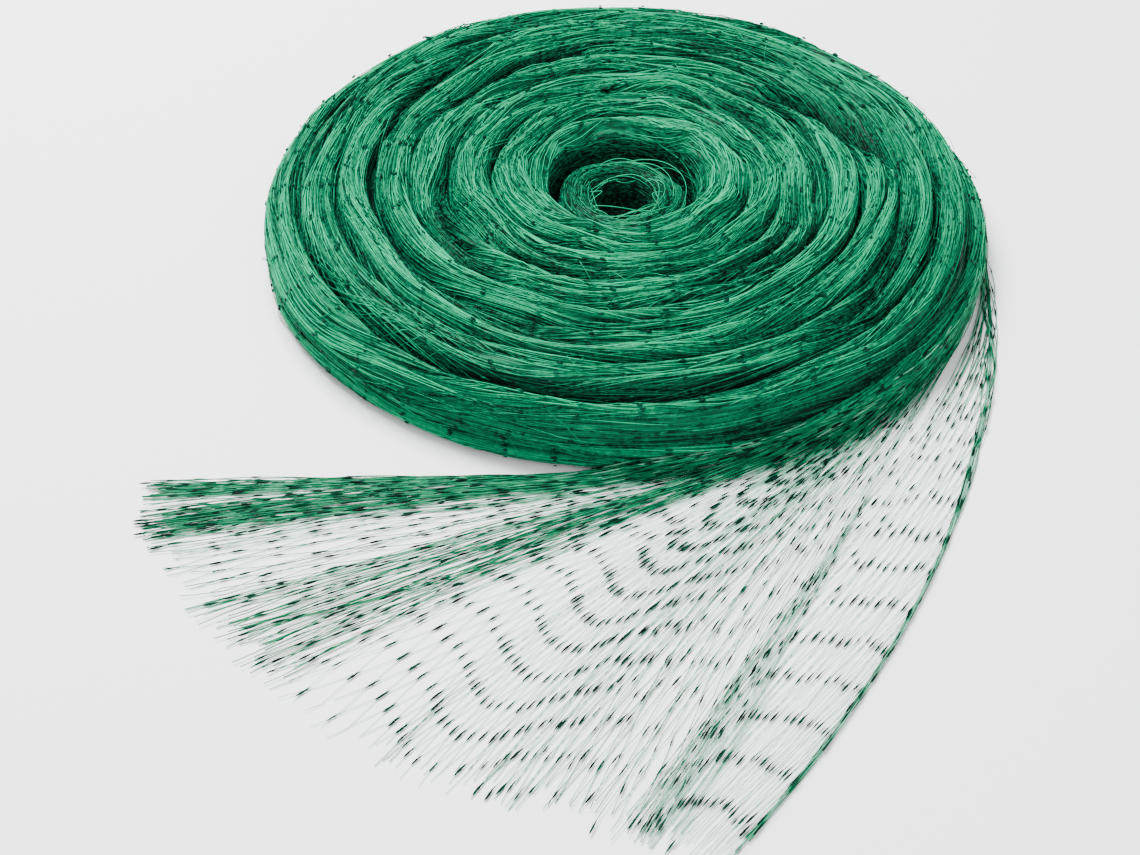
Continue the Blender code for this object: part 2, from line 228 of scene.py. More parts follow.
def smooth_ring(values):
    """A smooth closed function of the share of a turn, through four quarter values."""
    track = smooth_track([values] * 3)
    return lambda share: track(1.0 + np.mod(share, 1.0))


groove_radius = smooth_track(GROOVE_RADIUS)
crest_height = smooth_track(CREST_HEIGHT)
groove_depth = smooth_track(GROOVE_DEPTH)
edge_radius = smooth_ring(EDGE_RADIUS)
coil_lift = smooth_ring(COIL_LIFT)
middle_radius, middle_height, middle_lift, middle_shade = (
    smooth_track(column, a_unit=1) for column in zip(*MIDDLE_ROWS)
)
plain_rim = smooth_ring(RIM_RADIUS)
wall_groove = smooth_ring(WALL_GROOVE)


def rim_radius(share):
    """Radius of the outer wall, a little wavy."""
    radius = plain_rim(share)
    for count, size, phase in RIM_WAVES:
        radius = radius + size * np.sin(2 * np.pi * count * share + phase)
    return radius


print("winding has", len(CREST_HEIGHT), "rows of crests")

# %% [markdown]
# ## Locks of filament
#
# The filaments of one band don't run dead straight.  They drift together from side to side, as
# combed hair does, and gather into locks that stand a little proud.  `combing` is that common
# drift.  The locks are ridges in the combed coordinate, so they flow along with it, and they fade
# out towards the grooves.

# %% Combing, locks and creases
COMB_WAVES = ((3.7, 0.085, 0.3), (6.3, 0.065, 1.9), (10.9, 0.035, 4.1))
LOCK_RIDGES = (
    # ridges_across, ridges_a_turn, height, phase
    (2.6, 3.0, 1.2, 0.0),
    (2.1, 9.0, 0.60, 0.3),
    (3.7, -5.2, 0.50, 0.6),
    (6.3, 2.3, 0.30, 0.1),
)
CREASE_SEED = 5
FINE_CREASES = 70
CREASE_SWEEP_DEG = (30.0, 80.0)
CREASE_REACH = (36.0, 126.0)
CREASE_SHIFT = 7.0
CREASE_DEG_A_MM = 30.0
CREASE_HALF_WIDTH = (0.7, 1.5)
CREASE_DEPTH = (1.2, 3.2)


def combing(turns):
    """How far the filaments of a band drift sideways there, as a share of its width."""
    return sum(size * np.sin(2 * np.pi * rate * turns + at) for rate, size, at in COMB_WAVES)


def lock_relief(turns, across):
    """Height of the locks at a place in a band."""
    window = 1 - (2 * across - 1) ** 2
    combed = across - window * combing(turns)
    relief = 0.0
    for ridges, twist, height, phase in LOCK_RIDGES:
        relief = relief + height * np.cos(2 * np.pi * (ridges * combed + twist * turns + phase))
    return relief * window


def fine_creases():
    """Narrow creases between locks, spread at random over the top."""
    rng = np.random.default_rng(CREASE_SEED)
    creases = []
    for _number in range(FINE_CREASES):
        start_deg, sweep = rng.uniform(-180.0, 180.0), rng.uniform(*CREASE_SWEEP_DEG)
        start_radius = np.sqrt(rng.uniform(*np.square(CREASE_REACH)))
        end_radius = start_radius + rng.normal(0.0, CREASE_SHIFT) + sweep / CREASE_DEG_A_MM
        half_width, depth = rng.uniform(*CREASE_HALF_WIDTH), rng.uniform(*CREASE_DEPTH)
        creases.append((start_deg, start_radius, start_deg - sweep, end_radius, half_width, depth))
    return creases


ALL_CREASES = [*CREASES, *fine_creases()]


def crease_drop(angle_deg, radius):
    """How far the creases lower the top at each place."""
    drop = np.zeros(np.broadcast(angle_deg, radius).shape)
    for start_deg, start_radius, end_deg, end_radius, half_width, depth in ALL_CREASES:
        along = np.mod(start_deg - angle_deg, 360.0) / (start_deg - end_deg)
        middle = start_radius + (end_radius - start_radius) * along
        fade = np.sqrt(np.sin(np.pi * np.clip(along, 0.0, 1.0)))
        drop += depth * fade * np.exp(-((radius - middle) / half_width) ** 2)
    return drop


print("creases:", len(ALL_CREASES))

# %% [markdown]
# ## One skin over the whole roll
#
# Everything that lies on the roll needs a place and a direction straight out of it.  `skin` gives
# the place from two numbers: the turns wound, which also say which way round, and how far across
# the band, where numbers past 0 and 1 go on into the next bands.  Past the rim it runs down the
# outer wall, and inside the top edge it runs down into the open middle and over the inner coil.

# %% Shape of the skin
COIL_WAVES = ((2, 0.5, 1.0), (5, 0.3, 2.0))
COIL_WAVE_OUT = 0.6


def around(radius, angle, height):
    """Places from a radius, an angle and a height."""
    return np.stack([radius * np.cos(angle), radius * np.sin(angle), height], axis=-1)


def groove_hold(turns):
    """How much of its full depth a groove keeps: locks that cross it fill it here and there."""
    waves = sum(np.sin(2 * np.pi * rate * turns + at) for rate, at in GROOVE_HOLD)
    return np.clip(GROOVE_HOLD_LEVEL + GROOVE_HOLD_SWAY * waves, *GROOVE_HOLD_LIMITS)


def groove_drop(inner, across):
    """How far the grooves lower the top below the crest of its band."""
    crest = crest_height(inner)
    outer_half = across >= 0.5
    neighbour = crest_height(np.where(outer_half, inner + 1.0, inner - 1.0))
    groove_turns = np.where(outer_half, inner + 1.0, inner)
    depth = groove_depth(groove_turns) * groove_hold(groove_turns)
    floor = 0.5 * (crest + neighbour) - depth
    return (crest - floor) * np.abs(2 * across - 1) ** GROOVE_SHARPNESS


def top_height(inner, across, radius):
    """Height of the top in the band that starts at `inner` turns."""
    share = np.mod(inner, 1.0)
    height = crest_height(inner) + lock_relief(inner, across) - groove_drop(inner, across)
    height = height - crease_drop(-360.0 * share, radius)
    inwards = np.maximum(0.0, edge_radius(share) + EDGE_ROUND_WIDTH - radius) / EDGE_ROUND_WIDTH
    outwards = np.maximum(0.0, radius - (rim_radius(share) - RIM_ROUND_WIDTH)) / RIM_ROUND_WIDTH
    return height - EDGE_ROUND_DROP * inwards ** 2 - RIM_ROUND_DROP * outwards ** 2


def band_at(share, reach):
    """The band that holds a place: its turns at that share, and how far across it lies."""
    grooves = np.stack([groove_radius(share + k) for k in range(len(GROOVE_RADIUS))], axis=-1)
    k = np.sum(grooves <= reach[..., None], axis=-1) - 1
    k = np.clip(k, 0, len(GROOVE_RADIUS) - 2)
    lower = np.take_along_axis(grooves, k[..., None], axis=-1)[..., 0]
    upper = np.take_along_axis(grooves, k[..., None] + 1, axis=-1)[..., 0]
    return share + k, np.clip((reach - lower) / (upper - lower), 0.0, 1.0)


ring_shares = np.linspace(0.0, 1.0, 721)
rim_heights, edge_heights = (
    top_height(*band_at(ring_shares, radius), radius)
    for radius in (rim_radius(ring_shares), edge_radius(ring_shares))
)
wall_levels, wall_bulges, wall_dents = (np.array(column)[::-1] for column in zip(*WALL_ROWS))

fine_rows = np.linspace(0.0, len(MIDDLE_ROWS) - 1.0, 121)
row_steps = np.hypot(np.diff(middle_radius(fine_rows)), np.diff(middle_height(fine_rows)))
row_paths = np.concatenate([[0.0], np.cumsum(row_steps)])


def split(turns, across):
    """The band that holds a place, how far across it that lies, and the share of a turn."""
    inner = turns + np.floor(across)
    return inner, across - np.floor(across), np.mod(inner, 1.0)


def reach_of(turns, across):
    """Reach out from the axis of places in the winding."""
    inner, part, _share = split(turns, across)
    return (1 - part) * groove_radius(inner) + part * groove_radius(inner + 1.0)


def wall_place(share, reach):
    """Height of the rim, how far up the wall a reach past it falls, and the dent there."""
    rim_height = np.interp(share, ring_shares, rim_heights)
    level = np.clip(1.0 - (reach - rim_radius(share)) / rim_height, 0.0, 1.0)
    return rim_height, level, np.interp(level, wall_levels, wall_dents) * wall_groove(share)


def middle_row(share, reach):
    """The row of the open middle that a reach inside the top edge falls on."""
    return np.interp(np.maximum(edge_radius(share) - reach, 0.0), row_paths, fine_rows)


def middle_skin(turns, outward):
    """Places in the open middle: row 0 is the top edge, and rows inwards count below 0."""
    share, row = np.mod(turns, 1.0), np.clip(-outward, 0.0, len(MIDDLE_ROWS) - 1.0)
    lift = middle_lift(row)
    waves = sum(size * np.sin(2 * np.pi * count * share + at) for count, size, at in COIL_WAVES)
    near_edge = np.clip(1 - row, 0.0, 1.0)
    radius = middle_radius(row) + COIL_WAVE_OUT * lift * waves
    radius = radius + near_edge * (edge_radius(share) - MIDDLE_ROWS[0][0])
    height = middle_height(row) + lift * (coil_lift(share) + waves)
    edge = np.interp(share, ring_shares, edge_heights)
    height = height + near_edge * (edge - MIDDLE_ROWS[0][1])
    return around(radius, -2 * np.pi * turns, height)


def skin(turns, across):
    """Places on the roll: over a band's top, down the wall, or into the middle."""
    inner, part, share = split(turns, across)
    reach = reach_of(turns, across)
    rim, edge = rim_radius(share), edge_radius(share)
    radius = np.clip(reach, edge, rim)
    rim_height, level, dent = wall_place(share, reach)
    bulge = np.interp(level, wall_levels, wall_bulges) - dent
    height = np.where(reach > rim, rim_height * level, top_height(inner, part, radius))
    radius = np.where(reach > rim, radius + bulge, radius)
    place = around(radius, -2 * np.pi * inner, height)
    rows = middle_row(share, reach)
    return np.where((reach < edge)[..., None], middle_skin(turns, -rows), place)


GROOVE_SHADE_DEPTH = 4.5
CREASE_SHADE_DEPTH = 2.0
WALL_SHADE_DEPTH = 2.6
GROOVE_SHADOW_LINE_SHARE = 0.06
GROOVE_SHADOW_LINE_DARKNESS = 0.65
NORMAL_STEP = 0.02
TINY = 1e-9


# Painted shade: this number darkens the tone of the body and of the laid filaments.
def skin_shade(turns, across):
    """One where the light reaches, falling towards nothing deep in grooves and creases."""
    inner, part, share = split(turns, across)
    reach, rim, edge = reach_of(turns, across), rim_radius(share), edge_radius(share)
    hollow = groove_drop(inner, part) / GROOVE_SHADE_DEPTH
    hollow = hollow + crease_drop(-360.0 * share, np.clip(reach, edge, rim)) / CREASE_SHADE_DEPTH
    # Painted shadow: a thin dark line along the bottom of each groove.
    shadow_line = np.exp(-((0.5 - np.abs(part - 0.5)) / GROOVE_SHADOW_LINE_SHARE) ** 2)
    dent = wall_place(share, reach)[2] / WALL_SHADE_DEPTH
    shade = np.exp(-np.where(reach > rim, dent, hollow))
    shade = shade * (1 - GROOVE_SHADOW_LINE_DARKNESS * shadow_line * groove_hold(inner + (part >= 0.5)))
    return np.where(reach < edge, middle_shade(middle_row(share, reach)), shade)


def unit(vectors):
    """The same directions, one long."""
    return vectors / np.maximum(np.linalg.norm(vectors, axis=-1, keepdims=True), TINY)


def normal_of(surface, turns, across):
    """Direction straight out of a surface."""
    step = NORMAL_STEP
    turn_step = step / np.maximum(turns, 1.0)
    along = surface(turns + turn_step, across) - surface(turns - turn_step, across)
    beside = surface(turns, across + step) - surface(turns, across - step)
    return unit(np.cross(along, beside))


print("rim stands", round(rim_heights.min(), 1), "to", round(rim_heights.max(), 1), "mm high")

# %% [markdown]
# ## Mesh helpers
#
# There are thousands of filaments, so their meshes are made from whole arrays at once.  A filament
# is a three-sided tube shaded smooth: at less than half a millimetre across, more sides would
# never be seen.  Each point carries a `tone`, a number from dark to bright that the materials
# read.  It differs at random, so that no two filaments look quite alike.  It also carries painted
# shade in the grooves, creases and open middle of the roll, and painted light on the fan's
# filaments by the wall.

# %% Build meshes from arrays
TUBE_SIDES = 3
KNOT_SIDES = 4
KNOT_RINGS = ((-0.30, 0.75), (-0.05, 1.0), (0.25, 0.55))


def make_piece(name, places, faces, tones):
    """A mesh object from places in millimetres round the axis, and faces of three or four."""
    mesh = bpy.data.meshes.new(name)
    mesh.vertices.add(len(places))
    mesh.vertices.foreach_set("co", (places * MM + AXIS).astype(np.float32).ravel())
    sizes = np.concatenate([np.full(len(face), face.shape[1]) for face in faces])
    corners = np.concatenate([face.ravel() for face in faces])
    mesh.loops.add(len(corners))
    mesh.loops.foreach_set("vertex_index", corners.astype(np.int32))
    mesh.polygons.add(len(sizes))
    starts = np.concatenate([[0], np.cumsum(sizes)[:-1]])
    mesh.polygons.foreach_set("loop_start", starts.astype(np.int32))
    mesh.update(calc_edges=True)
    mesh.validate()
    mesh.shade_smooth()
    tone = mesh.attributes.new("tone", "FLOAT", "POINT")
    tone.data.foreach_set("value", tones.astype(np.float32))
    piece = bpy.data.objects.new(name, mesh)
    bpy.context.collection.objects.link(piece)
    return piece


def tube_arrays(paths, ups, radii, tones):
    """Places, faces and tones of tubes: paths and ups are (tubes, points, 3)."""
    tubes, points = paths.shape[:2]
    ahead = unit(np.gradient(paths, axis=1))
    beside = unit(np.cross(ahead, ups))
    above = np.cross(beside, ahead)
    turn = 2 * np.pi * (np.arange(TUBE_SIDES) / TUBE_SIDES) + np.pi / 2
    out = np.cos(turn)[:, None] * beside[:, :, None] + np.sin(turn)[:, None] * above[:, :, None]
    places = (paths[:, :, None] + radii[..., None, None] * out).reshape(-1, 3)
    index = np.arange(tubes * points * TUBE_SIDES).reshape(tubes, points, TUBE_SIDES)
    beyond = np.roll(index, -1, axis=2)
    sides = np.stack([index[:, :-1], beyond[:, :-1], beyond[:, 1:], index[:, 1:]], axis=-1)
    caps = np.concatenate([index[:, 0, ::-1], index[:, -1]])
    return places, [sides.reshape(-1, 4), caps], np.repeat(tones.ravel(), TUBE_SIDES)


def knot_arrays(centres, ahead, up, length, radius, tones):
    """Places, faces and tones of knots: small lumps with a point at each end."""
    count = len(centres)
    beside = unit(np.cross(ahead, up))
    above = np.cross(beside, ahead)
    rings = []
    for along, width in KNOT_RINGS:
        for side in range(KNOT_SIDES):
            turn = 2 * np.pi * (side + 0.5) / KNOT_SIDES
            out = np.cos(turn) * beside + np.sin(turn) * above
            middle = centres + (along * length)[:, None] * ahead
            rings.append(middle + (width * radius)[:, None] * out)
    ends = [centres + (side * 0.5 * length)[:, None] * ahead for side in (-1, 1)]
    places = np.stack(rings + ends, axis=1)
    per_knot = places.shape[1]
    first, last = per_knot - 2, per_knot - 1
    top_ring = (len(KNOT_RINGS) - 1) * KNOT_SIDES
    quads, triangles = [], []
    for side in range(KNOT_SIDES):
        after = (side + 1) % KNOT_SIDES
        triangles += [(first, after, side), (last, top_ring + side, top_ring + after)]
        for ring in range(len(KNOT_RINGS) - 1):
            low, high = ring * KNOT_SIDES, (ring + 1) * KNOT_SIDES
            quads.append((low + side, low + after, high + after, high + side))
    shift = (np.arange(count) * per_knot)[:, None, None]
    faces = [
        (np.array(group)[None] + shift).reshape(-1, len(group[0])) for group in (quads, triangles)
    ]
    return places.reshape(-1, 3), faces, np.repeat(tones, per_knot)


def join_arrays(parts):
    """Several sets of places, faces and tones as one."""
    places, faces, tones, shift = [], [], [], 0
    for part_places, part_faces, part_tones in parts:
        places.append(part_places)
        tones.append(part_tones)
        faces += [face + shift for face in part_faces]
        shift += len(part_places)
    return np.concatenate(places), faces, np.concatenate(tones)


def tell(piece):
    """Print how many triangles a piece has."""
    piece.data.calc_loop_triangles()
    print(piece.name, "has", len(piece.data.loop_triangles), "triangles")


print("a knot has", len(KNOT_RINGS) * KNOT_SIDES + 2, "points")

# %% [markdown]
# ## The wound body
#
# Under the filaments lies the bulk of the roll.  It could be a displaced disc, but a mesh whose
# rings run from the hole over the bands, down the wall and back under the roll keeps every ring
# where the skin says.  Between the filaments that are laid on later, this body is what shows in
# the grooves and gaps, so it has the locks in its shape.  Its tone is kept low as painted shade
# for the deep filaments between the laid ones, and it falls off further into the grooves, the
# creases and the open middle.

# %% Make the wound body
BODY_STEPS = 400
TOP_RINGS = 112
WALL_RINGS = 14
UNDER_RINGS = 18
MIDDLE_RINGS = 26
UNDER_GROOVE = 2.0
UNDER_GROOVE_SHARPNESS = 6
UNDER_EDGE_INSET = 4.0
# Painted shade: the body's tone is kept low, as its deep filaments lie in shade between the laid
# ones.
BODY_SHADED_TONE = 0.30
WALL_END = 0.999
UNDER_SHADE = 0.4


def make_body():
    """Closed rings over the middle and the top, down the wall and back underneath."""
    share = np.arange(BODY_STEPS) / BODY_STEPS
    edge, rim, hole = edge_radius(share), rim_radius(share), MIDDLE_ROWS[-1][0]
    drop = np.interp(share, ring_shares, rim_heights)
    rings, shades = [], []
    for row in np.linspace(len(MIDDLE_ROWS) - 1.0, 0.0, MIDDLE_RINGS + 1)[:-1]:
        rings.append(middle_skin(share, np.full(BODY_STEPS, -row)))
        shades.append(np.full(BODY_STEPS, middle_shade(row)))
    top_reaches = [edge + (rim - edge) * f for f in np.linspace(0.0, 1.0, TOP_RINGS)]
    wall_reaches = [rim + drop * f for f in np.linspace(0.0, WALL_END, WALL_RINGS + 1)[1:]]
    for reach in top_reaches + wall_reaches:
        inner, across = band_at(share, reach)
        rings.append(skin(inner, across))
        shades.append(skin_shade(inner, across))
    for f in np.linspace(1.0, 0.0, UNDER_RINGS + 1)[1:-1]:
        radius = hole + (rim - UNDER_EDGE_INSET - hole) * f
        _inner, across = band_at(share, radius)
        lift = UNDER_GROOVE * np.abs(2 * across - 1) ** UNDER_GROOVE_SHARPNESS
        rings.append(around(radius, -2 * np.pi * share, lift))
        shades.append(1 - UNDER_SHADE * lift)
    places = np.stack(rings)
    index = np.arange(places.shape[0] * BODY_STEPS).reshape(places.shape[0], BODY_STEPS)
    beyond, after = np.roll(index, -1, axis=0), np.roll(index, -1, axis=1)
    corner = np.roll(beyond, -1, axis=1)
    faces = np.stack([index, after, corner, beyond], axis=-1).reshape(-1, 4)
    tones = BODY_SHADED_TONE * np.concatenate(shades)
    return make_piece("wound_body", places.reshape(-1, 3), [faces], tones)


wound_body = make_body()
tell(wound_body)

# %% [markdown]
# ## Filaments wound on the roll
#
# The photograph shows the roll as a mass of single filaments.  Hair curves would render, but they
# don't survive an export, so each filament is a thin closed tube.  First comes an even layer over
# the top and the wall.  Over it lie the locks: small groups of filaments that run side by side,
# cross the band at a shallow angle and dive under their neighbours at both ends.

# %% Helpers that lay filaments on the skin
FILAMENT_RADIUS = 0.21
STRAND_POINTS = 16
END_SHARE = 0.07
END_DIP = 0.9
LEAST_SWEEP_REACH = 12.0
FILAMENT_LENGTH = (80.0, 150.0)
WANDER_RATE = (0.7, 2.2)
LEAST_SHADE = 0.12


def scatter(rng, count, nearest, farthest):
    """Random places in the winding, evenly spread between two reaches."""
    share = rng.random(count)
    reach = np.sqrt(rng.uniform(nearest ** 2, farthest ** 2, count))
    return band_at(share, reach)


def run_along(rng, turns, across, length, reach, drift, wander):
    """The turns and the place across of filaments that run the way of the winding."""
    along = np.linspace(-0.5, 0.5, STRAND_POINTS)
    sweep = length / (2 * np.pi * np.maximum(reach, LEAST_SWEEP_REACH))
    rate, phase = rng.uniform(*WANDER_RATE, (len(turns), 1)), rng.random((len(turns), 1))
    at_turns = turns[:, None] + sweep[:, None] * along
    at_across = across[:, None] + drift[:, None] * along
    return at_turns, at_across + wander * np.sin(2 * np.pi * (rate * along + phase))


def lay_tubes(surface, at_turns, at_across, lift, tones, radius=FILAMENT_RADIUS):
    """Tubes that lie on a surface and dive into it at both ends."""
    along = np.linspace(-0.5, 0.5, at_turns.shape[1])
    ends = np.clip((0.5 - np.abs(along)) / END_SHARE, 0.0, 1.0)
    height = lift * ends - END_DIP * (1 - ends)
    normal = normal_of(surface, at_turns, at_across)
    paths = surface(at_turns, at_across) + height[..., None] * normal
    paths[..., 2] = np.maximum(paths[..., 2], radius)
    radii = radius * (0.5 + 0.5 * ends) * np.ones((len(at_turns), 1))
    return tube_arrays(paths, normal, radii, tones)


def lay_on_bands(rng, turns, across, length, drift, lift, tones, wander, radius=FILAMENT_RADIUS):
    """Filaments on the bands, combed with their neighbours, and darkened by painted shade in grooves
    and creases.
    """
    reach = reach_of(turns, across)
    at_turns, at_across = run_along(rng, turns, across, length, reach, drift, wander)
    part = np.mod(at_across, 1.0)
    shift = combing(at_turns) - combing(turns)[:, None]
    at_across = at_across + (1 - (2 * part - 1) ** 2) * shift
    shade = LEAST_SHADE + (1 - LEAST_SHADE) * skin_shade(at_turns, at_across)
    return lay_tubes(skin, at_turns, at_across, lift, tones[:, None] * shade, radius)


print("a filament has", 2 * TUBE_SIDES * (STRAND_POINTS - 1) + 2, "triangles")

# %% Lay the even layer
EVEN_SEED = 11
EVEN_COUNT = 1650
EVEN_NEAREST = 31.0
WALL_REACH = 162.0
EVEN_DRIFT = 0.2
EVEN_LIFT = (0.05, 0.35)
EVEN_TONE = (0.1, 1.0)
EVEN_WANDER = 0.03
STRAY_COUNT = 90
STRAY_NEAREST = 36.0
STRAY_LENGTH = (25.0, 70.0)
STRAY_DRIFT = 0.8
STRAY_FOOT = 0.8
STRAY_RISE = 2.6
STRAY_RISE_SHARE = (0.2, 1.0)
STRAY_TONE = (0.2, 1.0)
STRAY_WANDER = 0.1
STRAY_RADIUS = 0.13


def make_even_layer():
    """Single filaments over the whole top and wall, and a few strays that stand off them."""
    rng = np.random.default_rng(EVEN_SEED)
    turns, across = scatter(rng, EVEN_COUNT, EVEN_NEAREST, WALL_REACH)
    length = rng.uniform(*FILAMENT_LENGTH, EVEN_COUNT)
    drift = rng.normal(0.0, EVEN_DRIFT, EVEN_COUNT)
    lift = rng.uniform(*EVEN_LIFT, (EVEN_COUNT, 1))
    tones = rng.uniform(*EVEN_TONE, EVEN_COUNT)
    laid = lay_on_bands(rng, turns, across, length, drift, lift, tones, EVEN_WANDER)
    turns, across = scatter(rng, STRAY_COUNT, STRAY_NEAREST, WALL_REACH)
    length = rng.uniform(*STRAY_LENGTH, STRAY_COUNT)
    drift = rng.normal(0.0, STRAY_DRIFT, STRAY_COUNT)
    arch = np.sin(np.pi * np.linspace(0.0, 1.0, STRAND_POINTS))
    rise = rng.uniform(*STRAY_RISE_SHARE, (STRAY_COUNT, 1)) * STRAY_RISE
    lift = STRAY_FOOT + rise * arch
    tones = rng.uniform(*STRAY_TONE, STRAY_COUNT)
    strays = lay_on_bands(
        rng, turns, across, length, drift, lift, tones, STRAY_WANDER, STRAY_RADIUS
    )
    return make_piece("wound_even_filaments", *join_arrays([laid, strays]))


even_layer = make_even_layer()
tell(even_layer)

# %% Lay the locks
LOCK_GROUPS = (
    # name, seed, locks, nearest_reach, farthest_reach
    ("wound_locks_inner", 21, 190, 34.0, 106.0),
    ("wound_locks_outer", 22, 205, 100.0, 160.0),
)
LOCK_FILAMENTS = 10
LOCK_HALF_WIDTH = 2.2
LOCK_WIDTH_SHARE = (0.6, 1.2)
LOCK_UNEVEN_SIDE = 0.08
LOCK_UNEVEN_LIFT = (0.0, 0.25)
LOCK_CROWN = 0.85
LOCK_FOOT = 0.15
LOCK_DRIFT = 0.33
LOCK_TONE = (0.25, 1.0)
LOCK_TONE_SPREAD = 0.22
LOCK_TONE_LIMITS = (0.02, 1.15)
LOCK_RAGGED_END = 0.01
LOCK_WANDER = 0.012
BAND_WIDTH = 13.0


def make_locks(name, seed, locks, nearest, farthest):
    """Groups of filaments side by side over a low crown, drawn together at both ends."""
    rng = np.random.default_rng(seed)
    turns, across = scatter(rng, locks, nearest, farthest)
    length = rng.uniform(*FILAMENT_LENGTH, locks)
    drift = rng.normal(0.0, LOCK_DRIFT, locks)
    lock_tone = rng.uniform(*LOCK_TONE, locks)
    width = LOCK_HALF_WIDTH * rng.uniform(*LOCK_WIDTH_SHARE, locks) / BAND_WIDTH
    ends = 1 - np.abs(np.linspace(-1.0, 1.0, STRAND_POINTS)) ** 3
    parts = []
    for side in np.linspace(-1.0, 1.0, LOCK_FILAMENTS):
        beside = (side + rng.normal(0.0, LOCK_UNEVEN_SIDE, locks)) * width
        crown = LOCK_CROWN * (1 - side ** 2) + rng.uniform(*LOCK_UNEVEN_LIFT, (locks, 1))
        tones = np.clip(lock_tone + rng.normal(0.0, LOCK_TONE_SPREAD, locks), *LOCK_TONE_LIMITS)
        at_turns = turns + rng.uniform(-LOCK_RAGGED_END, LOCK_RAGGED_END, locks)
        lift = LOCK_FOOT + crown * ends
        parts.append(
            lay_on_bands(rng, at_turns, across + beside, length, drift, lift, tones, LOCK_WANDER)
        )
    return make_piece(name, *join_arrays(parts))


locks = [make_locks(*group) for group in LOCK_GROUPS]
for piece in locks:
    tell(piece)

# %% [markdown]
# ## The open middle
#
# Nothing fills the roll's middle.  A low inner coil lies in it, with a dark gap round it, and slack
# filaments spring from the coil in loops.  They catch the light, so they are laid as separate
# tubes, the loops finer than the rest.

# %% Lay the inner coil and its loops
COIL_SEED = 31
COIL_COUNT = 420
COIL_ROWS = (0.2, 11.0)
COIL_LENGTH = (30.0, 75.0)
COIL_DRIFT = 1.1
COIL_WANDER = 0.12
COIL_TONE = (0.4, 1.2)
COIL_LEAST_SHADE = 0.03
COIL_FILAMENT_LIFT = (0.05, 0.7)
LOOP_SEED = 32
LOOP_COUNT = 56
LOOP_POINTS = 18
LOOP_RADIUS = 0.15
LOOP_SWEEP = (0.6, 2.2)
LOOP_REACH = (12.5, 23.5)
LOOP_INWARD = (-3.0, 7.0)
LOOP_RISE = (0.8, 5.5)
LOOP_FOOT = 16.5
LOOP_ARCH = 0.8
LOOP_TONE = (0.6, 1.2)


def coil_arrays():
    """Filaments round the side of the middle, over the inner coil and down into its eye."""
    rng = np.random.default_rng(COIL_SEED)
    turns, rows = 1.0 + rng.random(COIL_COUNT), rng.uniform(*COIL_ROWS, COIL_COUNT)
    length = rng.uniform(*COIL_LENGTH, COIL_COUNT)
    drift = rng.normal(0.0, COIL_DRIFT, COIL_COUNT)
    reach = middle_radius(rows)
    at_turns, at_rows = run_along(rng, turns, -rows, length, reach, drift, COIL_WANDER)
    # Painted shade: the middle's shade column darkens the filaments on the coil, in the gap round it
    # and down the eye.
    shade = COIL_LEAST_SHADE + (1 - COIL_LEAST_SHADE) * middle_shade(-at_rows)
    tones = rng.uniform(*COIL_TONE, (COIL_COUNT, 1)) ** 2 * shade
    lift = rng.uniform(*COIL_FILAMENT_LIFT, (COIL_COUNT, 1))
    return lay_tubes(middle_skin, at_turns, at_rows, lift, tones)


def loop_arrays():
    """Slack loops that rise from the inner coil and come back to it."""
    rng = np.random.default_rng(LOOP_SEED)
    along = np.linspace(0.0, 1.0, LOOP_POINTS)
    start = rng.random((LOOP_COUNT, 1)) * 2 * np.pi
    sweep, radius, inward, rise = (
        rng.uniform(*limits, (LOOP_COUNT, 1))
        for limits in (LOOP_SWEEP, LOOP_REACH, LOOP_INWARD, LOOP_RISE)
    )
    arch = np.sin(np.pi * along)
    height = LOOP_FOOT + rise * arch ** LOOP_ARCH
    paths = around(radius - inward * arch, start - sweep * along, height)
    ups = np.broadcast_to([0.0, 0.0, 1.0], paths.shape)
    radii = np.full(paths.shape[:2], LOOP_RADIUS)
    tones = np.broadcast_to(rng.uniform(*LOOP_TONE, (LOOP_COUNT, 1)), paths.shape[:2])
    return tube_arrays(paths, ups, radii, tones)


inner_coil = make_piece("wound_inner_coil", *join_arrays([coil_arrays(), loop_arrays()]))
tell(inner_coil)

# %% [markdown]
# ## Knots in the wound net
#
# The closed meshes keep their knots, and the knots of neighbouring filaments lie nearly level.
# So every bar length along the winding a dark, broken line of knots crosses the band, more or less
# askew.  Each knot is a small lump drawn out along the filament.

# %% Lay the knots on the roll
MESH_BAR = 20.0
KNOT_SEED = 41
KNOT_SPACING = 0.95
KNOT_LENGTH = 2.3
KNOT_RADIUS = 0.46
KNOT_LIFT = (0.8, 1.5)
KNOT_SIZE = (0.7, 1.25)
KNOT_TONE = (0.1, 0.7)
KNOTS_SHOWN = 0.8
KNOT_ROW_SLANT = 3.0
KNOT_SCATTER = 0.7
KNOT_UNEVEN = 0.03
KNOT_ROW_STEP = (0.9, 1.1)
AHEAD_STEP = 0.002
FIRST_KNOT_TURN = 2.05
LAST_KNOT_TURN = 11.9


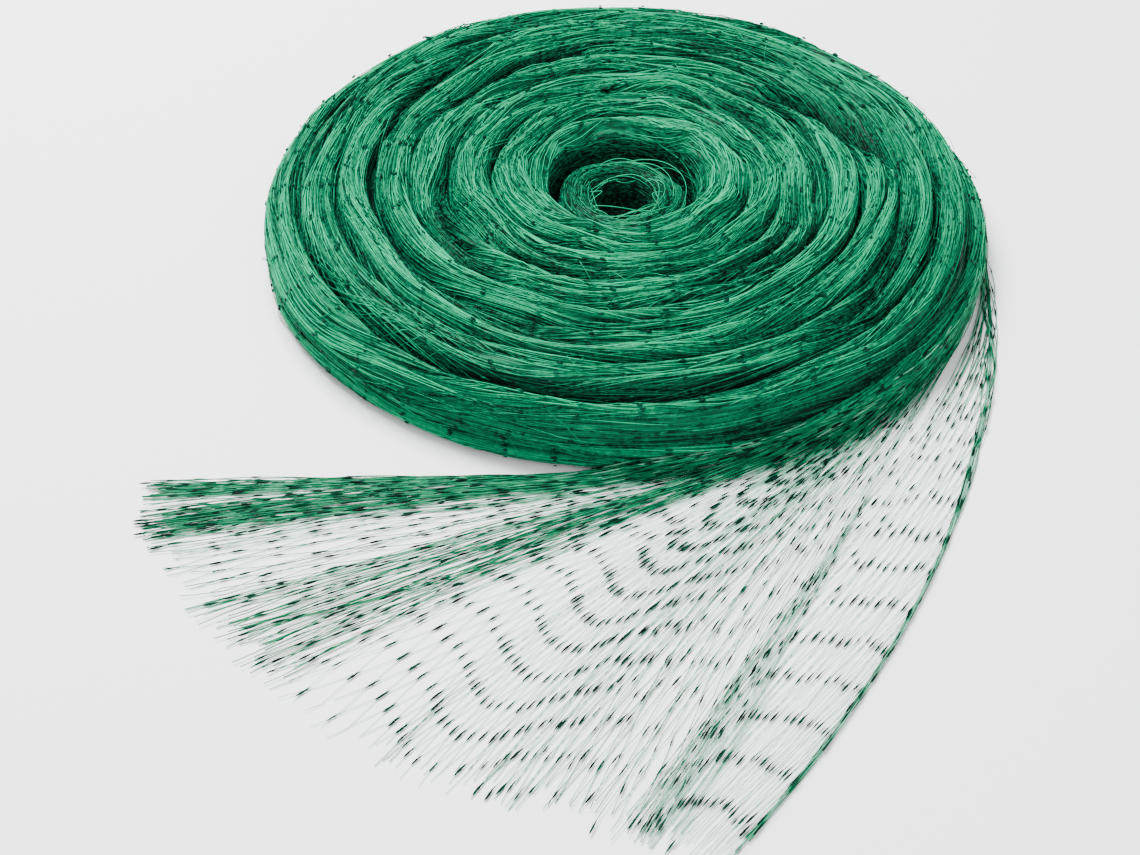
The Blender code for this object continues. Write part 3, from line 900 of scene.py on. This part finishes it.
def make_wound_knots():
    """Rows of knots across the bands, a bar apart."""
    rng = np.random.default_rng(KNOT_SEED)
    turns, across = [], []
    at = FIRST_KNOT_TURN
    while at < LAST_KNOT_TURN:
        reach = float(groove_radius(at + 0.5))
        width = float(groove_radius(at + 1.0) - groove_radius(at))
        count = int(width / KNOT_SPACING)
        beside = (np.arange(count) + 0.5) / count + rng.normal(0.0, KNOT_UNEVEN, count)
        slant, bow = rng.normal(0.0, KNOT_ROW_SLANT, 2)
        shift = slant * (beside - 0.5) + bow * (beside - 0.5) ** 2
        shift = shift + rng.normal(0.0, KNOT_SCATTER, count)
        kept = rng.random(count) < KNOTS_SHOWN
        turns += list((at + shift / (2 * np.pi * reach))[kept])
        across += list(beside[kept])
        at += MESH_BAR / (2 * np.pi * reach) * rng.uniform(*KNOT_ROW_STEP)
    turns, across = np.array(turns), np.array(across)
    seen = reach_of(turns, across) < WALL_REACH
    turns, across = turns[seen], across[seen]
    normal = normal_of(skin, turns, across)
    lift = rng.uniform(*KNOT_LIFT, (len(turns), 1))
    ahead = unit(skin(turns + AHEAD_STEP, across) - skin(turns - AHEAD_STEP, across))
    size = rng.uniform(*KNOT_SIZE, len(turns))
    centres = skin(turns, across) + lift * normal
    centres[:, 2] = np.maximum(centres[:, 2], KNOT_RADIUS)
    tones = rng.uniform(*KNOT_TONE, len(turns))
    arrays = knot_arrays(centres, ahead, normal, KNOT_LENGTH * size, KNOT_RADIUS * size, tones)
    print("knots on the roll:", len(turns))
    return make_piece("wound_knots", *arrays)


wound_knots = make_wound_knots()
tell(wound_knots)

# %% [markdown]
# ## The loose end as a fan of filaments
#
# The loose net is one cloth of diamonds, opened a little.  It could be cut from a flat sheet, but
# its knots and its crossing filaments are what the eye sees, so every filament is made.  A guide
# table says where each guide filament leaves the wall and where its tip lies, and the filaments
# between share out the room.  `share` is the way across the fan, from nought at the upper left
# edge to one at the selvage on the right.

# %% Guides of the fan, in millimetres and degrees
FAN_GUIDES = (
    # leaves_wall_deg, tip_x, tip_y, filaments_to_next, rise
    (-90, -155, -139, 12, 1.5),
    (-89.4, -156, -147, 3, 0.5),
    (-88, -155, -154, 14, 2),
    (-83, -152, -165, 6, 1),
    (-77, -145, -176, 5, 0),
    (-71, -136, -193, 10, 1),
    (-66, -119, -212, 9, 1.5),
    (-61, -102, -227, 5, 0.5),
    (-55, -79, -249, 7, 0),
    (-49, -53, -261, 9, 0),
    (-42, -27, -268, 9, 0.5),
    (-33, -1, -278, 9, 1.5),
    (-20, 12, -282, 9, 0),
    (-2, 24, -284, 0, 2),
)
WALL_CLEARANCE_RADIUS = 137.0

guides = np.array(FAN_GUIDES)
guide_share = np.concatenate([[0.0], np.cumsum(guides[:-1, 3])]) / np.sum(guides[:, 3])


def strand_curve(share):
    """Start, bend and tip of the filaments at shares of the way across the fan."""
    leaves, tip_x, tip_y = (np.interp(share, guide_share, guides[:, k]) for k in range(3))
    angle = np.radians(leaves)
    start = WALL_CLEARANCE_RADIUS * np.stack([np.cos(angle), np.sin(angle)], axis=-1)
    tip = np.stack([tip_x, tip_y], axis=-1)
    heading = np.stack([np.sin(angle), -np.cos(angle)], axis=-1)
    bend = start + heading * 0.5 * np.linalg.norm(tip - start, axis=-1, keepdims=True)
    return start, bend, tip


def strand_length(share):
    """Length of a filament from the wall to its tip, near enough."""
    start, bend, tip = strand_curve(share)
    return np.linalg.norm(bend - start, axis=-1) + np.linalg.norm(tip - bend, axis=-1)


print("the fan's filaments are", np.round(strand_length(guide_share)).tolist(), "mm long")

# %% [markdown]
# ## Rows and folds
#
# The net lies in bunches, open stretches and folds.  The first table says how thick the filaments
# lie at each share, how far apart the rows of knots are, how ragged they are and how green the
# filaments look.  The rows sag in scallops between the bunches.  Folds are lines that draw the
# filaments beside them together.  The last fold bounds the right panel, whose filaments come out
# of it one by one on their way up.  A cloth simulation could lay the net in folds too, but not in
# the ones of the photograph, so the tables are read from it.

# %% Rows and folds of the fan
FAN_COLUMNS = (
    # share, filaments_a_share, row_step, roughness, greenness
    (0.00, 200, 15.5, 1.5, 0.60),
    (0.05, 400, 15.5, 1.5, 0.90),
    (0.10, 400, 15.5, 1.4, 0.90),
    (0.12, 260, 15.5, 1.2, 0.60),
    (0.14, 360, 15.5, 1.3, 0.85),
    (0.26, 370, 15.5, 1.2, 0.85),
    (0.30, 250, 15.5, 0.9, 0.50),
    (0.33, 160, 15.5, 0.7, 0.15),
    (0.36, 220, 15.5, 0.9, 0.40),
    (0.42, 320, 15.5, 1.1, 0.80),
    (0.50, 310, 15, 0.9, 0.80),
    (0.55, 160, 14.6, 0.3, 0.10),
    (0.60, 280, 14.3, 0.12, 0.05),
    (0.67, 290, 14.3, 0.12, 0.08),
    (0.71, 300, 14.3, 0.2, 0.32),
    (0.76, 230, 15.2, 0.7, 0.45),
    (0.84, 180, 17, 0.6, 0.40),
    (0.86, 370, 18, 0.2, 0.08),
    (1.00, 370, 18, 0.12, 0.08),
)
SCALLOPS = (
    # first_share, last_share, sag
    (0.02, 0.26, 5),
    (0.30, 0.47, 8),
    (0.575, 0.715, 14),
    (0.84, 1.04, -14),
)
ROW_OFFSET = -3
FOLDS = (
    # half_width, pull, (from_tip, share) along the fold
    (0.022, 0.60, ((0, 0.078), (150, 0.072))),
    (0.014, 0.60, ((0, 0.150), (40, 0.152))),
    (0.014, 0.60, ((0, 0.262), (60, 0.235), (140, 0.225))),
    (0.020, 0.60, ((46, 0.168), (60, 0.165), (93, 0.163), (132, 0.177))),
    (0.022, 0.65, ((0, 0.205), (28, 0.247), (56, 0.273), (92, 0.300), (127, 0.310))),
    (0.016, 0.65, ((0, 0.380), (44, 0.390), (62, 0.383), (108, 0.360), (138, 0.333))),
    (0.012, 0.75, ((0, 0.532), (33, 0.525), (52, 0.510), (77, 0.485), (139, 0.445))),
    (0.012, 0.60, ((20, 0.450), (37, 0.465), (58, 0.478), (83, 0.492))),
    (0.007, 0.70, ((0, 0.270), (40, 0.285), (100, 0.312))),
    (0.007, 0.70, ((0, 0.335), (60, 0.335), (120, 0.320))),
    (0.006, 0.70, ((0, 0.355), (70, 0.352), (130, 0.340))),
    (0.007, 0.70, ((0, 0.420), (50, 0.425), (110, 0.400))),
    (0.007, 0.70, ((10, 0.440), (60, 0.440), (120, 0.415))),
    (0.008, 0.60, ((0, 0.618), (26, 0.608))),
    (0.008, 0.60, ((0, 0.685), (12, 0.690))),
    (0.008, 0.60, ((0, 0.728), (12, 0.730))),
    (0.010, 0.60, ((0, 0.790), (60, 0.800))),
    (0.018, 0.35, ((0, 0.890), (56, 0.883), (91, 0.873), (155, 0.860), (206, 0.880))),
)
FOLD_FADE = 18.0
PANEL_START = 0.86
PANEL_STRETCH = 1.9
PANEL_SLANT = 0.0008
PANEL_BUNCH = 0.50
PANEL_EDGE = 0.90
BEHIND_PANEL_ROUGH = 1.0

column_share, column_count, column_step, column_rough, column_green = (
    np.array(column) for column in zip(*FAN_COLUMNS)
)
fine_shares = np.linspace(0.0, 1.0, 401)
fine_counts = np.interp(fine_shares, column_share, column_count)
counted = np.cumsum(0.5 * (fine_counts[1:] + fine_counts[:-1]) * np.diff(fine_shares))
filaments_before = np.concatenate([[0.0], counted])
FAN_FILAMENTS = int(filaments_before[-1])


def row_shift(share):
    """How far the rows of knots sag towards the tips."""
    shift = ROW_OFFSET
    for first, last, sag in SCALLOPS:
        across = np.clip((share - first) / (last - first), 0.0, 1.0)
        shift = shift + sag * np.sin(np.pi * across) ** 2
    return shift


def fold_reach(fold, share, from_tip):
    """How far to the side of a fold filaments lie, and how much it holds them."""
    half_width, _pull, line = fold
    line_tips, line_shares = (np.array(column) for column in zip(*line))
    off = share - np.interp(from_tip, line_tips, line_shares)
    past = np.maximum(line_tips[0] - from_tip, from_tip - line_tips[-1])
    held = np.clip(1 - past / FOLD_FADE, 0.0, 1.0) * np.exp(-(off / half_width) ** 2)
    return off, held


def gathered(share, from_tip):
    """Filaments drawn together into folds that run slantwise across the fan."""
    for fold in FOLDS:
        off, held = fold_reach(fold, share, from_tip)
        share = share - fold[1] * off * held
    return share


def slanted(share, from_tip):
    """The right panel's filaments come out of its fold one by one and end at the selvage."""
    fold_line = [np.array(column) for column in zip(*FOLDS[-1][2])]
    fold = np.interp(from_tip, *fold_line)
    moved = 1 - (1 - share) * PANEL_STRETCH + PANEL_SLANT * from_tip
    bunched = fold + (moved - fold) * PANEL_BUNCH
    return np.clip(np.where(moved < fold, bunched, moved), 0.0, 1.0)


def greenness(share, from_tip):
    """One where filaments lie thick together, nought where they are far apart."""
    green = np.interp(share, column_share, column_green)
    for fold in FOLDS:
        green = np.maximum(green, fold[1] * fold_reach(fold, share, from_tip)[1])
    return green


print("filaments in the fan:", FAN_FILAMENTS, "in", len(FOLDS), "folds")

# %% [markdown]
# ## From the ground onto the wall
#
# Each filament is a curve over the ground that meets the wall along its tangent.  There it goes on
# backwards along the roll and rises slowly, as the last turn does before it comes away.

# %% Places on the fan and along the wall
WALL_CLIMB = 0.062
WALL_TOUCH = 0.9
WALL_APPROACH = 25.0
DROP_REACH = 38.0
PAST_TIP = 1.02


def fan_place(share, from_tip, wall_lift):
    """Places at a distance from the tip: over the ground, then up and back along the wall."""
    start, bend, tip = strand_curve(share)
    length = strand_length(share)
    f = np.clip(1 - from_tip / length, 0.0, PAST_TIP)[..., None]
    flat = (1 - f) ** 2 * start + 2 * f * (1 - f) * bend + f ** 2 * tip
    past = np.maximum(from_tip - length, 0.0)
    leaves = np.radians(np.interp(share, guide_share, guides[:, 0]))
    angle = leaves + past / WALL_CLEARANCE_RADIUS
    near = np.clip(past / WALL_APPROACH, 0.0, 1.0)
    touching = rim_radius(np.mod(-angle / (2 * np.pi), 1.0)) + WALL_TOUCH
    radius = WALL_CLEARANCE_RADIUS + (touching - WALL_CLEARANCE_RADIUS) * near
    wall = radius[..., None] * np.stack([np.cos(angle), np.sin(angle)], axis=-1)
    where = np.where((past > 0)[..., None], wall, flat)
    climb = np.clip(1 - (length - from_tip) / DROP_REACH, 0.0, 1.0) ** 2
    height = wall_lift * climb + WALL_CLIMB * past
    return np.concatenate([where, height[..., None]], axis=-1)


def swing(phase):
    """A wave that goes straight to and fro between one and minus one."""
    return 1 - 2 * np.abs(np.mod(phase + 1, 2) - 1)


print("rows at mid fan sag", round(float(row_shift(0.645) - ROW_OFFSET), 1), "mm")

# %% [markdown]
# ## Filaments that meet at knots
#
# Each filament swings half a space to the left and right, a row at a time, and meets its
# neighbours at knots: that is what makes the long diamonds.  Filaments that lie thick together are
# greener and thicker than single ones, as several lie on top of each other there.

# %% Make the fan's filaments and knots
FAN_SEED = 51
LOOSE_RADIUS = 0.108
BUNCH_RADIUS = 0.200
SELVAGE_FILAMENTS = 8
SELVAGE_STEP = 16.0
SELVAGE_KNOT = 1.1
SELVAGE_SPREAD = 5.0
SELVAGE_GREEN = 0.75
STEPS_A_ROW = 4
CUT_END = (-5.0, 7.0)
WALL_RUN = (50.0, 170.0)
WALL_FOOT = 1.2
WALL_LOOSE = 5.0
WANDER_A_MM = (0.006, 0.014)
WANDER_LEAST, WANDER_BUNCHED, WANDER_SELVAGE = 0.4, 0.9, 0.5
SELVAGE_SPREAD_FROM, SELVAGE_SPREAD_MOST = 0.4, 0.4
AT_ROW = 0.01
NEAR_WALL, NEAR_WALL_REACH = 0.74, 0.16
FAN_KNOT_LENGTH = 5.6
FAN_KNOT_RADIUS = 0.35
FAN_KNOT_SIZE = (0.75, 1.2)
FAN_KNOT_TONE = (0.0, 0.45)
FAN_KNOT_SCATTER = 0.3
FIRST_KNOT, LAST_KNOT = 0.1, 0.4
UPHILL_ROUGH, UPHILL_ROWS, UPHILL_FROM, UPHILL_MOST = 1.2, 14.0, 0.45, 0.4
PALE_TONE = 0.92
GREEN_TONE = 0.40
WALL_PAINTED_LIGHT = 0.08
TONE_SPREAD = 0.09
KNOT_TAIL = 0.38


def lay_strand(number, rng):
    """One filament of the fan: path, up directions, radii, tones, rows and own place."""
    selvage = number >= FAN_FILAMENTS
    own_share = 1.0 if selvage else float(np.interp(number + 0.5, filaments_before, fine_shares))
    length = float(strand_length(np.array(own_share)))
    step = SELVAGE_STEP if selvage else float(np.interp(own_share, column_share, column_step))
    shift = float(row_shift(own_share)) + (rng.uniform(0.0, step) if selvage else 0.0)
    first = (rng.uniform(*CUT_END) + shift) / step
    last = (length + rng.uniform(*WALL_RUN) + shift) / step
    after = np.floor(first * STEPS_A_ROW) + 1
    rows = np.concatenate([[first], np.arange(after, last * STEPS_A_ROW) / STEPS_A_ROW])
    from_tip = rows * step - shift
    side = 1 if number % 2 else -1
    at_number = number + 0.5 + 0.5 * side * swing(rows)
    share = np.interp(at_number, filaments_before, fine_shares)
    share = slanted(share, from_tip) if own_share > PANEL_START else share
    share = np.full(len(rows), 1.0) if selvage else share
    path = fan_place(gathered(share, from_tip), from_tip, WALL_FOOT + rng.uniform(0.0, WALL_LOOSE))
    path[:, 2] += LOOSE_RADIUS + np.interp(own_share, guide_share, guides[:, 4]) * rng.random()
    rate, phase = rng.uniform(*WANDER_A_MM), rng.random()
    loose = WANDER_LEAST + WANDER_BUNCHED * np.interp(own_share, column_share, column_green)
    if selvage:
        spread = np.clip(from_tip / length - SELVAGE_SPREAD_FROM, 0.0, SELVAGE_SPREAD_MOST)
        loose = WANDER_SELVAGE + SELVAGE_SPREAD * spread
    wander = loose * np.sin(2 * np.pi * (rate * from_tip + phase))
    ahead = unit(np.gradient(path, axis=0))
    path[:, 0] += wander * ahead[:, 1]
    path[:, 1] -= wander * ahead[:, 0]
    up = np.broadcast_to([0.0, 0.0, 1.0], path.shape)
    up = np.where((from_tip > length)[:, None], unit(path * [1.0, 1.0, 0.0]), up)
    near_wall = np.clip(from_tip / length - NEAR_WALL, 0.0, NEAR_WALL_REACH) / NEAR_WALL_REACH
    green = np.maximum(greenness(share, from_tip), near_wall)
    green = np.full(len(rows), SELVAGE_GREEN) if selvage else green
    tones = PALE_TONE + (GREEN_TONE - PALE_TONE) * green + rng.normal(0.0, TONE_SPREAD)
    # Painted light: filaments near the wall lie in the roll's shadow, so their tone is raised there.
    tones = tones + WALL_PAINTED_LIGHT * near_wall
    at_row = np.abs(rows - np.round(rows)) < AT_ROW
    radii = LOOSE_RADIUS + (BUNCH_RADIUS - LOOSE_RADIUS) * green
    path[:, 2] = np.maximum(path[:, 2], radii)
    return path, up, radii, np.where(at_row, tones * KNOT_TAIL, tones), rows, own_share


def strand_knots(number, path, up, rows, own_share, rng):
    """The knots that one filament carries, one on every second row."""
    selvage = number >= FAN_FILAMENTS
    at = np.arange(np.ceil(rows[0] + FIRST_KNOT), rows[-1] - LAST_KNOT)
    at = at[(at + number) % 2 == 0]
    rough = float(np.interp(own_share, column_share, column_rough))
    uphill = np.clip((at - rows[0]) / UPHILL_ROWS - UPHILL_FROM, 0.0, UPHILL_MOST)
    rough = rough + UPHILL_ROUGH * uphill
    rough = np.maximum(rough, BEHIND_PANEL_ROUGH if PANEL_START < own_share < PANEL_EDGE else 0.0)
    scatter_rows = rng.normal(0.0, FAN_KNOT_SCATTER, len(at)) * rough
    at = np.clip(at + scatter_rows, rows[0], rows[-1])
    ahead = np.gradient(path, axis=0)
    centres, heading, above = (
        np.stack([np.interp(at, rows, values[:, k]) for k in range(3)], axis=-1)
        for values in (path, ahead, up)
    )
    size = rng.uniform(*FAN_KNOT_SIZE, len(at)) * (SELVAGE_KNOT if selvage else 1.0)
    centres[:, 2] = np.maximum(centres[:, 2], FAN_KNOT_RADIUS * size)
    tones = rng.uniform(*FAN_KNOT_TONE, len(at))
    return knot_arrays(
        centres, unit(heading), above, FAN_KNOT_LENGTH * size, FAN_KNOT_RADIUS * size, tones
    )


def make_loose_net():
    """Every filament of the fan, its knots, and the drawn-in selvage on the right."""
    rng = np.random.default_rng(FAN_SEED)
    tubes, knots = [], []
    for number in range(FAN_FILAMENTS + SELVAGE_FILAMENTS):
        path, up, radii, tones, rows, own_share = lay_strand(number, rng)
        tubes.append(tube_arrays(path[None], up[None], radii[None], tones[None]))
        knots.append(strand_knots(number, path, up, rows, own_share, rng))
    return [
        make_piece(name, *join_arrays(parts))
        for name, parts in (("loose_filaments", tubes), ("loose_knots", knots))
    ]


loose_filaments, loose_knots = make_loose_net()
tell(loose_filaments)
tell(loose_knots)

# %% [markdown]
# ## Finishes
#
# Filament is extruded plastic: an even, slightly glossy green, darker where it is knotted tight
# and paler where it is drawn thin.  Two effects are node groups: `filament tint`, which all four
# net materials use, turns a tone into a colour with a little mottling, and `wound streaks` makes
# fine lines that run round the axis, for the body between the filaments.

# %% Node helpers
# A Mix node has sockets of one name for each kind of data, so its colours go by number.
MIX_COLOUR_A, MIX_COLOUR_B, MIX_COLOUR = 6, 7, 2


def new_group(name, inputs, outputs):
    """An empty shader node group with named sockets."""
    group = bpy.data.node_groups.new(name, "ShaderNodeTree")
    for socket, kind, value in inputs:
        made = group.interface.new_socket(socket, in_out="INPUT", socket_type=kind)
        made.default_value = value
    for socket, kind in outputs:
        group.interface.new_socket(socket, in_out="OUTPUT", socket_type=kind)
    return group, group.nodes.new("NodeGroupInput"), group.nodes.new("NodeGroupOutput")


def connect(tree, source, target):
    """Feed a node's socket, or a plain number or colour, into another node's socket."""
    if isinstance(source, bpy.types.NodeSocket):
        tree.links.new(source, target)
    else:
        target.default_value = source


def calculate(tree, operation, first, second=0.0, third=0.0):
    """A Math node."""
    node = tree.nodes.new("ShaderNodeMath")
    node.operation = operation
    for socket, value in zip(node.inputs, (first, second, third)):
        connect(tree, value, socket)
    return node.outputs[0]


def blend_colours(tree, factor, first, second):
    """A Mix node for colours, kept between its two ends."""
    node = tree.nodes.new("ShaderNodeMix")
    node.data_type = "RGBA"
    node.clamp_factor = True
    connect(tree, factor, node.inputs["Factor"])
    connect(tree, first, node.inputs[MIX_COLOUR_A])
    connect(tree, second, node.inputs[MIX_COLOUR_B])
    return node.outputs[MIX_COLOUR]


def noise(tree, place, scale, detail=2.0):
    """The value of a Noise Texture."""
    node = tree.nodes.new("ShaderNodeTexNoise")
    connect(tree, place, node.inputs["Vector"])
    connect(tree, scale, node.inputs["Scale"])
    node.inputs["Detail"].default_value = detail
    return node.outputs["Fac"]


print("node helpers ready")

# %% Filament tint
# Tones darkened by painted shade fall towards DEEP_GREEN.
DEEP_GREEN = (0.0, 0.009, 0.006, 1.0)
NET_GREEN = (0.0, 0.198, 0.086, 1.0)
BRIGHT_GREEN = (0.0, 0.400, 0.178, 1.0)
MOTTLE_SCALE, MOTTLE_AMOUNT = 650.0, 0.25
LEAST_ROUGHNESS, ROUGHNESS_RANGE = 0.25, 0.25


def make_tint_group():
    """Tone to colour and roughness, with fine mottling."""
    group, given, result = new_group(
        "filament tint",
        [
            ("Tone", "NodeSocketFloat", 0.5),
            ("Deep", "NodeSocketColor", DEEP_GREEN),
            ("Middle", "NodeSocketColor", NET_GREEN),
            ("Bright", "NodeSocketColor", BRIGHT_GREEN),
            ("Mottle Scale", "NodeSocketFloat", MOTTLE_SCALE),
            ("Mottle Amount", "NodeSocketFloat", MOTTLE_AMOUNT),
        ],
        [("Colour", "NodeSocketColor"), ("Roughness", "NodeSocketFloat")],
    )
    place = group.nodes.new("ShaderNodeTexCoord").outputs["Object"]
    mottle = noise(group, place, given.outputs["Mottle Scale"])
    centred = calculate(group, "SUBTRACT", mottle, 0.5)
    tone = calculate(
        group, "MULTIPLY_ADD", centred, given.outputs["Mottle Amount"], given.outputs["Tone"]
    )
    lower = calculate(group, "MULTIPLY", tone, 2.0)
    upper = calculate(group, "MULTIPLY_ADD", tone, 2.0, -1.0)
    dark = blend_colours(group, lower, given.outputs["Deep"], given.outputs["Middle"])
    colour = blend_colours(group, upper, dark, given.outputs["Bright"])
    group.links.new(colour, result.inputs["Colour"])
    rough = calculate(group, "MULTIPLY_ADD", mottle, ROUGHNESS_RANGE, LEAST_ROUGHNESS)
    group.links.new(rough, result.inputs["Roughness"])
    return group


tint_group = make_tint_group()
print("group", tint_group.name, "made")

# %% Wound streaks
LINES_PER_METRE = 1500.0
BREAKS_ROUND = 6.0
WAVINESS, WAVE_SCALE = 0.002, 30.0
LEAST_RADIUS = 0.001
STREAK_RANGE = (0.35, 0.65)


def make_streak_group():
    """Fine lines that run round the axis: a mask and a height."""
    group, given, result = new_group(
        "wound streaks",
        [
            ("Axis", "NodeSocketVector", tuple(AXIS)),
            ("Lines per Metre", "NodeSocketFloat", LINES_PER_METRE),
            ("Breaks Round", "NodeSocketFloat", BREAKS_ROUND),
            ("Waviness", "NodeSocketFloat", WAVINESS),
        ],
        [("Streak", "NodeSocketFloat"), ("Height", "NodeSocketFloat")],
    )
    links, nodes = group.links, group.nodes
    place = nodes.new("ShaderNodeTexCoord").outputs["Object"]
    from_axis = nodes.new("ShaderNodeVectorMath")
    from_axis.operation = "SUBTRACT"
    links.new(place, from_axis.inputs[0])
    links.new(given.outputs["Axis"], from_axis.inputs[1])
    parts = nodes.new("ShaderNodeSeparateXYZ")
    links.new(from_axis.outputs[0], parts.inputs[0])
    x, y, z = parts.outputs
    squares = calculate(group, "MULTIPLY_ADD", y, y, calculate(group, "MULTIPLY", x, x))
    radius = calculate(group, "MAXIMUM", calculate(group, "SQRT", squares), LEAST_RADIUS)
    drift = noise(group, place, WAVE_SCALE)
    wave = calculate(group, "MULTIPLY", drift, given.outputs["Waviness"])
    outward = calculate(group, "ADD", calculate(group, "SUBTRACT", radius, z), wave)
    joined = nodes.new("ShaderNodeCombineXYZ")
    for source, socket in zip((x, y), joined.inputs):
        cosine = calculate(group, "DIVIDE", source, radius)
        connect(group, calculate(group, "MULTIPLY", cosine, given.outputs["Breaks Round"]), socket)
    lines = calculate(group, "MULTIPLY", outward, given.outputs["Lines per Metre"])
    links.new(lines, joined.inputs["Z"])
    height = noise(group, joined.outputs[0], 1.0, detail=1.0)
    sharp = nodes.new("ShaderNodeMapRange")
    for limit, value in zip(("From Min", "From Max"), STREAK_RANGE):
        sharp.inputs[limit].default_value = value
    links.new(height, sharp.inputs["Value"])
    links.new(sharp.outputs["Result"], result.inputs["Streak"])
    links.new(height, result.inputs["Height"])
    return group


streak_group = make_streak_group()
print("group", streak_group.name, "made")

# %% [markdown]
# ## Materials
#
# All of them are one plastic with its own values.  The body reads the streaks, as it stands for
# filaments that are too deep to lay one by one.  The laid filaments read their tone.  The loose
# ones are drawn thinner and look paler, and the knots are tight and dark.

# %% Make the materials
PLASTIC_IOR = 1.49
SPECULAR_LEVEL = 0.05
STREAK_TONE, STREAK_BASE = 0.35, 0.2
STREAK_RELIEF = 0.0006


def net_material(name, deep, middle, bright, mottle, streaks=None, bump=0.0):
    """A filament plastic that reads the tone of each point, with streaks where they are wanted."""
    material = bpy.data.materials.new(name)
    material.use_nodes = True
    tree = material.node_tree
    shader = tree.nodes["Principled BSDF"]
    tone = tree.nodes.new("ShaderNodeAttribute")
    tone.attribute_name = "tone"
    value = tone.outputs["Fac"]
    tint = tree.nodes.new("ShaderNodeGroup")
    tint.node_tree = tint_group
    sockets = ("Deep", "Middle", "Bright", "Mottle Amount")
    for socket, given in zip(sockets, (deep, middle, bright, mottle)):
        tint.inputs[socket].default_value = given
    if streaks:
        lines = tree.nodes.new("ShaderNodeGroup")
        lines.node_tree = streak_group
        lines.inputs["Lines per Metre"].default_value = streaks
        value = calculate(tree, "MULTIPLY_ADD", lines.outputs["Streak"], STREAK_TONE, value)
        value = calculate(tree, "SUBTRACT", value, STREAK_BASE)
        raised = tree.nodes.new("ShaderNodeBump")
        raised.inputs["Strength"].default_value = bump
        raised.inputs["Distance"].default_value = STREAK_RELIEF
        tree.links.new(lines.outputs["Height"], raised.inputs["Height"])
        tree.links.new(raised.outputs["Normal"], shader.inputs["Normal"])
    tree.links.new(value, tint.inputs["Tone"])
    tree.links.new(tint.outputs["Colour"], shader.inputs["Base Color"])
    tree.links.new(tint.outputs["Roughness"], shader.inputs["Roughness"])
    shader.inputs["IOR"].default_value = PLASTIC_IOR
    shader.inputs["Specular IOR Level"].default_value = SPECULAR_LEVEL
    return material


LOOSE_DEEP = (0.0, 0.015, 0.010, 1.0)
LOOSE_GREEN = (0.0, 0.215, 0.088, 1.0)
PALE_GREEN = (0.380, 0.720, 0.580, 1.0)
KNOT_DARK = (0.0, 0.004, 0.003, 1.0)
KNOT_GREEN = (0.0, 0.038, 0.022, 1.0)

body_material = net_material(
    "wound net", DEEP_GREEN, NET_GREEN, BRIGHT_GREEN, 0.2, streaks=LINES_PER_METRE, bump=0.8
)
filament_material = net_material("wound filament", DEEP_GREEN, NET_GREEN, BRIGHT_GREEN, 0.9)
loose_material = net_material("loose filament", LOOSE_DEEP, LOOSE_GREEN, PALE_GREEN, 0.2)
knot_material = net_material("tight knot", KNOT_DARK, KNOT_GREEN, NET_GREEN, 0.4)

FINISHES = {
    body_material: [wound_body],
    filament_material: [even_layer, *locks, inner_coil],
    loose_material: [loose_filaments],
    knot_material: [wound_knots, loose_knots],
}
for material, pieces in FINISHES.items():
    for piece in pieces:
        piece.data.materials.append(material)
    print(material.name, "on", [piece.name for piece in pieces])

# %% [markdown]
# ## Tie the pieces to the imported model
#
# The body and its filaments stand for the wound solid, and the loose net for the fan.

wound_pieces = [wound_body, even_layer, *locks, inner_coil, wound_knots]
for piece in wound_pieces:
    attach(piece, "root")
    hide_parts("wound_roll")
for piece in (loose_filaments, loose_knots):
    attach(piece, "root")
    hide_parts("loose_end")
print(len(wound_pieces), "pieces stand for the roll")

# %% [markdown]
# ## Ground and light
#
# The photograph is a cut-out on white, lit softly from above with the brighter side on the left.
# On a wide pale floor, the key light stands high behind the roll on the left, so that the bands
# shade off towards the viewer, and a wide weak light fills in from the front right.  The sky's
# even light keeps the shadows open.

# %% Set the stage
FLOOR_SIZE = 6.0
FLOOR_HEIGHT = -0.0003
FLOOR_ROUGHNESS = 0.8
FLOOR_WHITE = (0.96, 0.96, 0.96, 1.0)
LIGHTS = (
    # name, place, width, watts
    ("key light", (-0.35, 0.45, 1.15), 0.7, 56.0),
    ("fill light", (0.30, -1.10, 0.90), 1.2, 9.0),
)
SKY = (0.95, 0.98, 1.0, 1.0)
SKY_STRENGTH = 1.0

bpy.ops.mesh.primitive_plane_add(size=FLOOR_SIZE, location=(0.0, 0.0, FLOOR_HEIGHT))
floor = bpy.context.object
floor.name = "floor"
floor_material = bpy.data.materials.new("pale floor")
floor_material.use_nodes = True
floor_shader = floor_material.node_tree.nodes["Principled BSDF"]
floor_shader.inputs["Base Color"].default_value = FLOOR_WHITE
floor_shader.inputs["Roughness"].default_value = FLOOR_ROUGHNESS
floor.data.materials.append(floor_material)

for name, place, width, watts in LIGHTS:
    light = bpy.data.objects.new(name, bpy.data.lights.new(name, "AREA"))
    light.data.size = width
    light.data.energy = watts
    light.location = place
    light.rotation_euler = (-light.location).to_track_quat("-Z", "Y").to_euler()
    bpy.context.collection.objects.link(light)

world = bpy.data.worlds.new("soft sky")
world.use_nodes = True
world.node_tree.nodes["Background"].inputs["Color"].default_value = SKY
world.node_tree.nodes["Background"].inputs["Strength"].default_value = SKY_STRENGTH
bpy.context.scene.world = world
print("lights:", [light[0] for light in LIGHTS])
